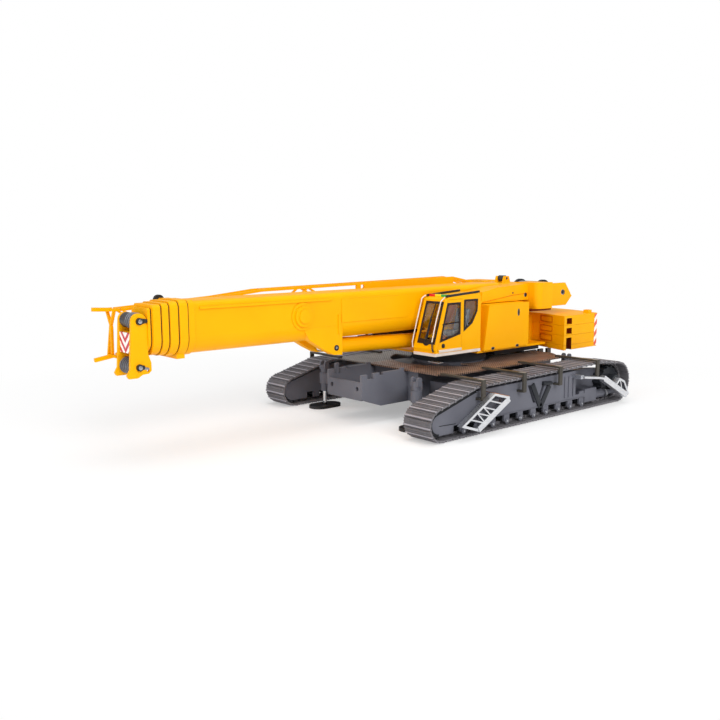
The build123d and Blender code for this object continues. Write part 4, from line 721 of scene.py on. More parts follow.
class Shape:
    """A mesh under construction, given in millimetres from the slew centre."""

    def __init__(self) -> None:
        """Starts an empty mesh."""
        self.bm = bmesh.new()

    def line(self, plane: Plane3, points: Iterable[Point2], depth: float) -> list[Any]:
        """Adds the corners of a line.

        Args:
            plane: The plane of the line.
            points: Its points.
            depth: Their distance along the third axis.

        Returns:
            The mesh's corners.
        """
        return [self.bm.verts.new(plane.point(a, b, depth)) for a, b in points]

    def wall(self, first: Sequence[Any], last: Sequence[Any]) -> None:
        """Adds the faces between two closed lines.

        Args:
            first: Corners of the first line.
            last: As many corners of the last line.
        """
        for n in range(len(first)):
            after = (n + 1) % len(first)
            self.bm.faces.new((first[after], first[n], last[n], last[after]))

    def tube(self, first: Sequence[Any], last: Sequence[Any]) -> "Shape":
        """Adds the wall and both ends between two closed lines.

        Args:
            first: Corners of the first line.
            last: As many corners of the last line.

        Returns:
            The shape itself.
        """
        self.bm.faces.new(first)
        self.bm.faces.new(last[::-1])
        self.wall(first, last)
        return self

    def prism(self, plane: Plane3, outline: Sequence[Point2], near: float, far: float) -> "Shape":
        """Adds an outline extruded between two depths.

        Args:
            plane: The plane of the outline.
            outline: Its corners.
            near: Depth of the first face.
            far: Depth of the last face.

        Returns:
            The shape itself.
        """
        return self.tube(self.line(plane, outline, near), self.line(plane, outline, far))

    def box(self, low: Point3, high: Point3) -> "Shape":
        """Adds a box between two corners.

        Args:
            low: Its first corner.
            high: Its last corner, on either side of the first along Y.

        Returns:
            The shape itself.
        """
        near, far = sorted((low[1], high[1]))
        outline = [(low[0], near), (high[0], near), (high[0], far), (low[0], far)]
        return self.prism(Plane3.LEVEL, outline, low[2], high[2])

    def disc(
        self,
        plane: Plane3,
        centre: Point2,
        radius: float,
        near: float,
        far: float,
        sides: int = 24,
    ) -> "Shape":
        """Adds a round disc or rod whose axis is square to a plane.

        Args:
            plane: The plane of the circle.
            centre: The circle's centre on it.
            radius: The circle's radius.
            near: Depth of the first face.
            far: Depth of the last face.
            sides: Number of flats round it.

        Returns:
            The shape itself.
        """
        return self.prism(plane, oval(centre, 2 * radius, 2 * radius, sides), near, far)

    def rod(self, start: Point3, end: Point3, radius: float, sides: int = 12) -> "Shape":
        """Adds a round rod between two points.

        Args:
            start: Middle of the first end.
            end: Middle of the last end.
            radius: The rod's radius.
            sides: Number of flats round it.

        Returns:
            The shape itself.
        """
        ends = (at(*start), at(*end))
        run = (ends[1] - ends[0]).normalized()
        over = run.cross(Vector((0, 0, 1)) if abs(run.z) < 0.9 else Vector((1, 0, 0))).normalized()
        up = run.cross(over)
        ways = [over * a + up * b for a, b in oval((0.0, 0.0), 2 * radius, 2 * radius, sides)]
        return self.tube(*([self.bm.verts.new(mid + way * MM) for way in ways] for mid in ends))

    def strip(
        self, plane: Plane3, line: Sequence[Point2], width: float, near: float, far: float
    ) -> "Shape":
        """Adds a flat band of even width along a line of points.

        Args:
            plane: The plane of the line.
            line: The points of its middle.
            width: The band's width in the plane.
            near: Depth of the first face.
            far: Depth of the last face.

        Returns:
            The shape itself.
        """
        left, right = [], []
        for n, (a, b) in enumerate(line):
            before, after = line[max(n - 1, 0)], line[min(n + 1, len(line) - 1)]
            ways = [
                (Vector(end) - Vector(start)).normalized()
                for start, end in ((before, (a, b)), ((a, b), after))
                if math.dist(start, end) > 1e-9
            ]
            way = sum(ways, Vector((0.0, 0.0))).normalized()
            half = width / 2 / max(way.dot(ways[0]), 0.4)
            left.append((a - way.y * half, b + way.x * half))
            right.append((a + way.y * half, b - way.x * half))
        for n in range(len(line) - 1):
            self.prism(plane, [left[n], left[n + 1], right[n + 1], right[n]], near, far)
        return self

    def seal(
        self,
        plane: Plane3,
        outline: Sequence[Point2],
        lap: float,
        width: float,
        radius: float,
        near: float,
        far: float,
    ) -> "Shape":
        """Adds a seal round an opening, with rounded inner corners.

        Args:
            plane: The plane of the opening.
            outline: The opening's corners.
            lap: How far the seal reaches outside the opening.
            width: The seal's whole width.
            radius: Size of the inner corners' curves.
            near: Depth of the first face.
            far: Depth of the last face.

        Returns:
            The shape itself.
        """
        grown = inset(outline, -lap)
        arcs = rounded(inset(outline, width - lap), radius)
        rings = []
        for depth in (near, far):
            outer = self.line(plane, grown, depth)
            inner = [self.line(plane, arc, depth) for arc in arcs]
            for n, arc in enumerate(inner):
                after = (n + 1) % len(inner)
                for start, end in zip(arc, arc[1:]):
                    self.bm.faces.new((outer[n], start, end))
                self.bm.faces.new((outer[n], arc[-1], inner[after][0], outer[after]))
            rings.append((outer, [corner for arc in inner for corner in arc]))
        for first, last in zip(*rings):
            self.wall(last, first)
        return self

    def ring(
        self,
        plane: Plane3,
        outer: Sequence[Point2],
        inner: Sequence[Point2],
        near: float,
        far: float,
    ) -> "Shape":
        """Adds a closed band between two outlines.

        Args:
            plane: The plane of the outlines.
            outer: Corners of the outer one.
            inner: As many corners of the inner one.
            near: Depth of the first face.
            far: Depth of the last face.

        Returns:
            The shape itself.
        """
        lines = [self.line(plane, line, depth) for depth in (near, far) for line in (outer, inner)]
        for first, last in ((0, 1), (2, 3), (0, 2), (1, 3)):
            self.wall(lines[last], lines[first])
        return self

    def lean(self, by: Callable[[float, float], float]) -> "Shape":
        """Moves the whole shape along X by an amount that depends on Y and Z.

        Args:
            by: Returns the move in millimetres for a Y and a Z in millimetres.

        Returns:
            The shape itself.
        """
        for corner in self.bm.verts:
            corner.co.x += by(corner.co.y / MM, corner.co.z / MM) * MM
        return self

    def piece(
        self, name: str, finish: Finish, body: str, slot: str, edge: float = 0.12
    ) -> bpy.types.Object:
        """Turns the shape into a finished piece that rides on a body.

        Args:
            name: The piece's name.
            finish: Its finish.
            body: The body that it moves with.
            slot: The record's material slot; not used.
            edge: Width of the bevel on its sharp edges, or 0.

        Returns:
            The piece's object.
        """
        bmesh.ops.recalc_face_normals(self.bm, faces=self.bm.faces)
        mesh = bpy.data.meshes.new(name)
        self.bm.to_mesh(mesh)
        self.bm.free()
        made = linked(name, mesh)
        if edge:
            bevel = made.modifiers.new("edges", "BEVEL")
            bevel.width = edge * MM
            bevel.segments = BEVEL_STEPS
            bevel.limit_method = "ANGLE"
            bevel.angle_limit = BEVEL_ANGLE
            bevel.harden_normals = False
            baked(made)
        return ready(made, finish, body)


def linked(name: str, data: Any) -> bpy.types.Object:
    """Makes an object and adds it to the scene.

    Args:
        name: The object's name.
        data: Its mesh, light or camera.

    Returns:
        The object.
    """
    made = bpy.data.objects.new(name, data)
    bpy.context.scene.collection.objects.link(made)
    return made


def baked(made: bpy.types.Object) -> None:
    """Turns an object's modifiers into its plain mesh.

    Args:
        made: The object with modifiers.
    """
    graph = bpy.context.evaluated_depsgraph_get()
    graph.update()
    plain = bpy.data.meshes.new_from_object(made.evaluated_get(graph))
    made.modifiers.clear()
    made.data = plain


def ready(made: bpy.types.Object, finish: Finish, body: str) -> bpy.types.Object:
    """Shades, dresses and hangs a finished piece on its body.

    Args:
        made: The piece, with its place in its mesh.
        finish: Its finish.
        body: The body that it moves with.

    Returns:
        The same piece.
    """
    made.data.materials.clear()
    made.data.materials.append(finish.material())
    made.data.shade_smooth()
    made.data.set_sharp_from_angle(angle=CRISP_ANGLE)
    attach(made, body)
    log.info("%s: %d faces on %s", made.name, len(made.data.polygons), body)
    return made


class Socket(Enum):
    """Kinds of input that a repeat's tree takes."""

    GEOMETRY = "NodeSocketGeometry"
    FLOAT = "NodeSocketFloat"
    INT = "NodeSocketInt"
    VECTOR = "NodeSocketVector"
    ROTATION = "NodeSocketRotation"
    MATERIAL = "NodeSocketMaterial"


class Repeat:
    """A Geometry Nodes tree that makes what repeats or follows a path."""

    def __init__(self, name: str, inputs: dict[str, Socket]) -> None:
        """Starts a tree.

        Args:
            name: The tree's name.
            inputs: Its named inputs, besides the base mesh and the material.
        """
        self.tree = bpy.data.node_groups.new(name, "GeometryNodeTree")
        face = self.tree.interface
        self.keys = {}
        for label, kind in {"Base": Socket.GEOMETRY, **inputs, "Finish": Socket.MATERIAL}.items():
            made = face.new_socket(name=label, in_out="INPUT", socket_type=kind.value)
            self.keys[label] = made.identifier
        face.new_socket(name="Piece", in_out="OUTPUT", socket_type=Socket.GEOMETRY.value)
        self.given = self.tree.nodes.new("NodeGroupInput").outputs

    def node(self, kind: str, inputs: dict | None = None, **settings: Any) -> Any:
        """Adds a node to the tree.

        Args:
            kind: The node's type name.
            inputs: For each input a value or the socket that feeds it.
            **settings: The node's own properties.

        Returns:
            The node's first output.
        """
        return add_node(self.tree, kind, inputs, **settings).outputs[0]

    def joined(self, parts: Iterable[Any]) -> Any:
        """Joins geometry into one.

        Args:
            parts: The geometry's sockets.

        Returns:
            The socket of the whole.
        """
        whole = add_node(self.tree, JOIN)
        for part in parts:
            self.tree.links.new(part, whole.inputs[0])
        return whole.outputs[0]

    def close(self, geometry: Any) -> "Repeat":
        """Ends the tree with Realize Instances and Set Material.

        Args:
            geometry: The socket with the whole geometry.

        Returns:
            The repeat itself.
        """
        real = self.node("GeometryNodeRealizeInstances", {"Geometry": geometry})
        inputs = {"Geometry": real, "Material": self.given["Finish"]}
        dressed = self.node("GeometryNodeSetMaterial", inputs)
        add_node(self.tree, "NodeGroupOutput", {0: dressed})
        return self

    def follow(self, part: Any) -> "Repeat":
        """Ends the tree with one part on each step of the base's path, turned to follow it.

        Args:
            part: The socket with the part's geometry.

        Returns:
            The repeat itself.
        """
        curve = self.node(TO_CURVE, {"Mesh": self.given["Base"]})
        steps = {"Curve": curve, "Count": self.given["Count"]}
        spaced = self.node("GeometryNodeResampleCurve", steps)
        heading = {"Vector": self.node("GeometryNodeInputTangent")}
        align = "FunctionNodeAlignRotationToVector"
        turn = self.node(align, heading, axis="X", pivot_axis="Y")
        laid = {"Points": spaced, "Instance": part, "Rotation": turn}
        return self.close(self.node(ON_POINTS, laid))

    def grow(
        self,
        name: str,
        base: bpy.types.Mesh,
        finish: Finish,
        body: str,
        slot: str,
        values: dict[str, Any],
    ) -> bpy.types.Object:
        """Runs the tree on a base mesh and keeps the result as a plain piece.

        Args:
            name: The piece's name.
            base: The mesh with the points or paths that it follows.
            finish: The piece's finish.
            body: The body that it moves with.
            slot: The record's material slot; not used.
            values: Values of the named inputs.

        Returns:
            The piece's object.
        """
        made = linked(name, base)
        grower = made.modifiers.new("repeat", "NODES")
        grower.node_group = self.tree
        for label, value in {**values, "Finish": finish.material()}.items():
            grower[self.keys[label]] = value
        baked(made)
        return ready(made, finish, body)


def points_mesh(points: Iterable[Point3]) -> bpy.types.Mesh:
    """Makes a mesh of loose points.

    Args:
        points: The points, in millimetres.

    Returns:
        The mesh.
    """
    mesh = bpy.data.meshes.new("points")
    mesh.from_pydata([at(*point) for point in points], [], [])
    return mesh


def paths_mesh(paths: Iterable[Sequence[Point3]], closed: bool = False) -> bpy.types.Mesh:
    """Makes a mesh of edges along one or more paths.

    Args:
        paths: Each path's points, in millimetres.
        closed: True to join each path's end to its start.

    Returns:
        The mesh.
    """
    corners: list[Vector] = []
    edges: list[tuple[int, int]] = []
    for path in paths:
        first = len(corners)
        corners.extend(at(*point) for point in path)
        edges.extend((n, n + 1) for n in range(first, len(corners) - 1))
        if closed:
            edges.append((len(corners) - 1, first))
    mesh = bpy.data.meshes.new("paths")
    mesh.from_pydata(corners, edges, [])
    return mesh


def bolt_repeat() -> Repeat:
    """Makes the tree that sets a hexagonal head, with a washer under it, on every point.

    Returns:
        The tree.
    """
    inputs = {"Head Radius": Socket.FLOAT, "Head Height": Socket.FLOAT, "Turn": Socket.ROTATION}
    made = Repeat("bolt_heads", inputs)
    given = made.given
    parts = []
    for sides, wide, high in ((6, 1.0, 1.0), (12, 1.45, 0.35)):  # the head, then the washer
        radius = made.node(MATH, {0: given["Head Radius"], 1: wide}, operation="MULTIPLY")
        height = made.node(MATH, {0: given["Head Height"], 1: high}, operation="MULTIPLY")
        lift = made.node(MATH, {0: height, 1: 0.5}, operation="MULTIPLY")
        sizes = {"Vertices": sides, "Radius": radius, "Depth": height}
        head = made.node("GeometryNodeMeshCylinder", sizes)
        offset = made.node(COMBINE, {"Z": lift})
        parts.append(made.node(TRANSFORM, {"Geometry": head, "Translation": offset}))
    placed = {"Points": given["Base"], "Instance": made.joined(parts), "Rotation": given["Turn"]}
    return made.close(made.node(ON_POINTS, placed))


def tube_repeat() -> Repeat:
    """Makes the tree that turns every path of the base into a round tube with eased corners.

    Returns:
        The tree.
    """
    made = Repeat("tubes", {"Radius": Socket.FLOAT, "Bend": Socket.FLOAT, "Sides": Socket.INT})
    given = made.given
    curve = made.node(TO_CURVE, {"Mesh": given["Base"]})
    bends = {"Curve": curve, "Radius": given["Bend"], "Limit Radius": True, "Count": 5}
    eased = made.node("GeometryNodeFilletCurve", bends, mode="POLY")
    sizes = {"Resolution": given["Sides"], "Radius": given["Radius"]}
    ring = made.node("GeometryNodeCurvePrimitiveCircle", sizes)
    swept = {"Curve": eased, "Profile Curve": ring, "Fill Caps": True}
    return made.close(made.node("GeometryNodeCurveToMesh", swept))


def shoe_repeat() -> Repeat:
    """Makes the tree that lays grousered shoes with their links round a track's path.

    Returns:
        The tree.
    """
    sizes = ("Pitch", "Width", "Thickness", "Grouser", "Link")
    made = Repeat("track_shoes", {"Count": Socket.INT, **{name: Socket.FLOAT for name in sizes}})

    def scaled(value: Any, share: float) -> Any:
        """Multiplies a value.

        Args:
            value: Its socket.
            share: What it is multiplied by.

        Returns:
            The result's socket.
        """
        return made.node(MATH, {0: value, 1: share}, operation="MULTIPLY")

    def total(first: Any, *others: Any) -> Any:
        """Adds values up.

        Args:
            first: The first value's socket.
            *others: Sockets of the others.

        Returns:
            The sum's socket.
        """
        for other in others:
            first = made.node(MATH, {0: first, 1: other}, operation="ADD")
        return first

    def block(size: Sequence[Any], centre: Sequence[Any]) -> Any:
        """Adds a box.

        Args:
            size: Its length, width and height, as sockets.
            centre: Its middle, as sockets or numbers.

        Returns:
            The box's socket.
        """
        cube = made.node(CUBE, {"Size": made.node(COMBINE, dict(enumerate(size)))})
        place = made.node(COMBINE, dict(enumerate(centre)))
        return made.node(TRANSFORM, {"Geometry": cube, "Translation": place})

    pitch, width, thick, rise, link = (made.given[name] for name in sizes)
    plate_mid = total(rise, scaled(thick, 0.5))
    link_mid = total(rise, thick, scaled(link, 0.5))
    parts = [block((scaled(pitch, 0.89), width, thick), (0.0, 0.0, plate_mid))]
    # Each grouser's place and width as shares of the pitch, and its height as a share of the rise.
    for share, tall, wide in ((-0.28, 0.6, 0.2), (0.04, 0.55, 0.07), (0.34, 0.7, 0.07)):
        size = (scaled(pitch, wide), width, scaled(rise, tall))
        grouser_mid = total(rise, scaled(rise, -0.5 * tall))
        parts.append(block(size, (scaled(pitch, share), 0.0, grouser_mid)))
    lip_mid = total(rise, thick, scaled(thick, 0.2))
    size = (scaled(pitch, 0.2), width, scaled(thick, 0.5))
    parts.append(block(size, (scaled(pitch, -0.4), 0.0, lip_mid)))
    for side in (-1, 1):
        size = (scaled(pitch, 0.82), scaled(width, 0.07), link)
        parts.append(block(size, (0.0, scaled(width, 0.15 * side), link_mid)))
        size = (scaled(pitch, 0.2), scaled(width, 0.05), scaled(rise, 0.45))
        tooth_mid = total(rise, scaled(rise, -0.22))
        parts.append(block(size, (scaled(pitch, 0.19), scaled(width, 0.3 * side), tooth_mid)))
    return made.follow(made.joined(reversed(parts)))


def lip_repeat() -> Repeat:
    """Makes the tree that lays one bar across each shoe of a track's path.

    Returns:
        The tree.
    """
    inputs = {"Count": Socket.INT, "Bar Size": Socket.VECTOR, "Shift": Socket.VECTOR}
    made = Repeat("shoe_lips", inputs)
    bar = made.node(CUBE, {"Size": made.given["Bar Size"]})
    moved = {"Geometry": bar, "Translation": made.given["Shift"]}
    return made.follow(made.node(TRANSFORM, moved))


class Repeats:
    """The trees that the sub-assemblies share."""

    def __init__(self) -> None:
        """Builds each tree once."""
        self.bolts = bolt_repeat()
        self.tubes = tube_repeat()
        self.shoes = shoe_repeat()
        self.lips = lip_repeat()

    def bar(
        self,
        name: str,
        paths: Iterable[Sequence[Point3]],
        finish: Finish,
        body: str,
        slot: str,
        radius: float,
        bend: float,
        sides: int = 10,
        closed: bool = False,
    ) -> None:
        """Adds a piece of round bars along paths.

        Args:
            name: The piece's name.
            paths: Each bar's points.
            finish: The piece's finish.
            body: The body that it moves with.
            slot: The record's material slot, passed on but not used.
            radius: The bars' radius.
            bend: Radius of their bends.
            sides: Number of flats round them.
            closed: True to join each bar's end to its start.
        """
        values = {"Radius": radius * MM, "Bend": bend * MM, "Sides": sides}
        self.tubes.grow(name, paths_mesh(paths, closed), finish, body, slot, values)


# ------------------------------------------------------------------------------ undercarriage


@dataclass
class Crawler:
    """One crawler: its shoes, and the fittings of the frame inside it.

    Attributes:
        name: "left" or "right".
        hand: 1 for the left, -1 for the right.
        middle: Distance of the track's centre line from the middle plane.
        wheels: X, Z and outer radius of the wheels that the track runs round.
        shoe_count: Number of shoes.
        shoe_width: Width of a shoe.
        shoe_sizes: The shoes' other sizes.
        frame_face: Distance of the frame's outer face from the middle plane.
        rollers: X and Z of the rollers.
        bracket_xs: X of the catwalk's brackets.
        rib_xs: X of the frame's upright ribs.
    """

    name: str
    hand: int
    middle: float = 59.25
    wheels: tuple[Point3, ...] = (
        (76.3, 8.8, 8.65),
        (50.0, 17.0, 8.0),
        (-58.0, 18.4, 8.0),
        (-73.5, 12.2, 12.05),
    )
    shoe_count: int = 77
    shoe_width: float = 18.0
    shoe_sizes: tuple[tuple[str, float], ...] = (
        ("Pitch", 4.6),
        ("Thickness", 0.75),
        ("Grouser", 0.5),
        ("Link", 1.3),
    )
    frame_face: float = 65.85
    rollers: tuple[Point2, ...] = tuple((59.0 - 11.0 * n, 3.1) for n in range(10))
    bracket_xs: tuple[float, ...] = (49.0, 17.0, -14.0, -49.0)
    rib_xs: Point3 = (-23.6, -27.2, -31.4)

    def loop(self, step: float = 0.6, reach: float = 0.0) -> list[Point2]:
        """Works out the closed path round the wheels' outer faces.

        Args:
            step: Length of the path's short chords on the arcs.
            reach: How far inside the shoes' outer faces it runs.

        Returns:
            The path's points in X and Z, running up at the front and back over the top.
        """
        angles = []
        for n, (x, z, radius) in enumerate(self.wheels):
            far_x, far_z, far_radius = self.wheels[(n + 1) % len(self.wheels)]
            run = math.hypot(far_x - x, far_z - z)
            along = ((far_x - x) / run, (far_z - z) / run)
            lean = (radius - far_radius) / run
            rise = math.sqrt(1 - lean * lean)
            way = (lean * along[0] + rise * along[1], lean * along[1] - rise * along[0])
            angles.append(math.atan2(way[1], way[0]))
        path = []
        for n, (x, z, radius) in enumerate(self.wheels):
            start = angles[n - 1]
            sweep = (angles[n] - start) % (2 * math.pi)
            chords = max(2, round(sweep * radius / step))
            for turn in (start + sweep * k / chords for k in range(chords + 1)):
                far = radius - reach
                path.append((x + far * math.cos(turn), z + far * math.sin(turn)))
        return path

    def build(self, repeats: Repeats) -> None:
        """Builds and dresses the crawler.

        Args:
            repeats: The shared trees.
        """
        side = self.name
        loop = [(x, self.out(self.middle), z) for x, z in self.loop()]
        sizes = {name: size * MM for name, size in self.shoe_sizes}
        shoes = repeats.shoes.grow(
            f"track_shoes_{side}",
            paths_mesh([loop], closed=True),
            Paint.TRACK,
            "undercarriage",
            "track_metal",
            {"Count": self.shoe_count, "Width": self.shoe_width * MM, **sizes},
        )
        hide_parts(f"track_{side}")
        dress(Paint.SLATE, f"track_frame_{side}")
        dress(Paint.DARK, f"track_wheels_{side}")
        dress(Paint.BRONZE if self.hand > 0 else Paint.GRATE, f"catwalk_{side}")
        dress(Paint.BRACKET, f"catwalk_brackets_{side}")
        dress(Paint.ALUMINIUM, f"ladders_{side}")
        # Light bars across the shoes: rubbed edges and painted highlight.
        repeats.lips.grow(
            f"track_lips_{side}",
            paths_mesh([loop], closed=True),
            Paint.LIP_WEAR_AND_HIGHLIGHT,
            "undercarriage",
            "track_metal",
            {
                "Count": self.shoe_count,
                "Bar Size": Vector((0.8, self.shoe_width + 0.1, 0.34)) * MM,
                "Shift": Vector((-1.3, 0.0, 0.3)) * MM,
            },
        )
        self.fittings()
        self.frame_parts(repeats)

    def out(self, distance: float) -> float:
        """Turns a distance from the middle plane into Y on this side.

        Args:
            distance: The distance.

        Returns:
            Y.
        """
        return self.hand * distance

    def keep(self, shape: Shape, name: str, finish: Finish, slot: str, edge: float) -> None:
        """Turns a shape into a piece of this side of the undercarriage.

        Args:
            shape: The shape.
            name: The piece's name without its side.
            finish: Its finish.
            slot: The record's material slot, passed on but not used.
            edge: Width of the bevel on its sharp edges, or 0.
        """
        shape.piece(f"{name}_{self.name}", finish, "undercarriage", slot, edge)

    def fittings(self) -> None:
        """Adds the drive's flange, the ladder's top and the light caps that paint a highlight on
        the brackets.
        """
        centre = (self.out(self.middle + 4.9), 6.2)
        flange = Shape().disc(Plane3.ACROSS, centre, 2.8, -64.9, -64.0)
        self.keep(flange, "drive_flange", Paint.STEEL, "bright_metal", 0.1)
        top = [(33.4, 18.2), (44.4, 21.15)]
        ladder = Shape().strip(Plane3.SIDE, top, 0.3, self.out(67.2), self.out(73.4))
        self.keep(ladder, "ladder_top", Paint.COPPER, "etched_bronze", 0.06)
        near, far = self.out(70.1), self.out(66.4)
        # Light grey caps on the brackets' tops: painted highlight.
        caps = Shape()
        for x in self.bracket_xs:
            cap = [(x - 1.1, near), (x + 1.1, near), (x + 1.1, far), (x - 1.1, far)]
            caps.prism(Plane3.LEVEL, cap, 27.8, 27.95)
        self.keep(caps, "bracket_caps", Paint.CAP_HIGHLIGHT, "grey_enamel", 0.05)

    def frame_parts(self, repeats: Repeats) -> None:
        """Adds the frame's bosses, braces, strips of painted shadow along its edges, ribs and
        bolts.

        Args:
            repeats: The shared trees.
        """
        face = self.out(self.frame_face)
        bosses = Shape()
        for centre in self.rollers:
            bosses.disc(Plane3.SIDE, centre, 1.6, face, face + self.out(0.5), 20)
        self.keep(bosses, "roller_bosses", Paint.SLATE, "grey_enamel", 0.12)
        # The dark braces over the frame's V slots paint the shade inside the slots.
        braces = Shape()
        for top in ((5.8, 19.8), (-9.1, 17.6)):
            braces.strip(Plane3.SIDE, [top, (-1.5, 6.8)], 3.2, face, face + self.out(0.8))
        tie = self.out(66.4)
        braces.rod((-3.0, tie, 19.4), (-10.5, tie, 18.8), 1.1, 16)
        self.keep(braces, "frame_braces", Paint.DARK, "grey_enamel", 0.15)
        # Dark strips on the frame's face: painted shadow of the gap along the shoes.
        shade = Shape()
        shade.strip(Plane3.SIDE, [(76.0, 8.0), (64.6, 7.6)], 0.35, face, face + self.out(0.1))
        edge = [(x, z) for x, z in self.loop(1.8, 3.3) if x > 36.0]
        first = min(range(len(edge)), key=lambda n: (edge[n][1] > 4.0, edge[n][0]))
        edge = edge[first:] + edge[:first]
        shade.strip(Plane3.SIDE, edge, 1.5, face, face + self.out(0.08))
        self.keep(shade, "frame_gap_shadow", Paint.FRAME_GAP_SHADOW, "grey_enamel", 0.0)
        ribs = Shape()
        for x in self.rib_xs:
            ribs.strip(Plane3.SIDE, [(x, 8.6), (x, 20.4)], 0.7, face, face + self.out(0.5))
        ribs.strip(Plane3.SIDE, [(-42.6, 6.9), (54.0, 6.9)], 0.45, face, face + self.out(0.45))
        self.keep(ribs, "frame_ribs", Paint.SLATE, "grey_enamel", 0.1)
        repeats.bolts.grow(
            f"frame_bolts_{self.name}",
            points_mesh((x, face + self.out(0.5), z) for x, z in self.rollers),
            Paint.STEEL,
            "undercarriage",
            "bright_metal",
            {
                "Head Radius": 0.5 * MM,
                "Head Height": 0.35 * MM,
                "Turn": Euler((-self.hand * math.pi / 2, 0.0, 0.0)),
            },
        )


@dataclass
class Carrier:
    """The carrier between the crawlers, with its trays, beams and jacks.

    Attributes:
        jack_x: Distance of the jacks from the slew centre along X.
        jack_y: Distance of the jacks from the middle plane.
        sleeve_radius: Radius of the plated skin round a jack's rod.
        sleeve_low: Height of its lower end.
        sleeve_high: Height of its upper end.
    """

    jack_x: float = 64.0
    jack_y: float = 38.0
    sleeve_radius: float = 1.14
    sleeve_low: float = 2.4
    sleeve_high: float = 16.6

    def build(self) -> None:
        """Builds and dresses the carrier."""
        dress(Paint.SLATE, "carrier", "slew_ring", "cross_beams_left", "cross_beams_right")
        dress(Paint.SLATE, "tray_front", "tray_rear", "jack_arms")
        dress(Paint.BRONZE, "front_deck")
        for end, x in (("front", self.jack_x), ("rear", -self.jack_x)):
            for side, hand in SIDES:
                foot, y = f"{end}_{side}", hand * self.jack_y
                dress(Paint.BLACK, f"jack_foot_{foot}")
                low, high = (x, y, self.sleeve_low), (x, y, self.sleeve_high)
                Shape().rod(low, high, self.sleeve_radius, 24).piece(
                    f"jack_rod_{foot}", Paint.CHROME, f"foot_{foot}", "polished_steel", 0.0
                )


# ------------------------------------------------------------------------------ superstructure


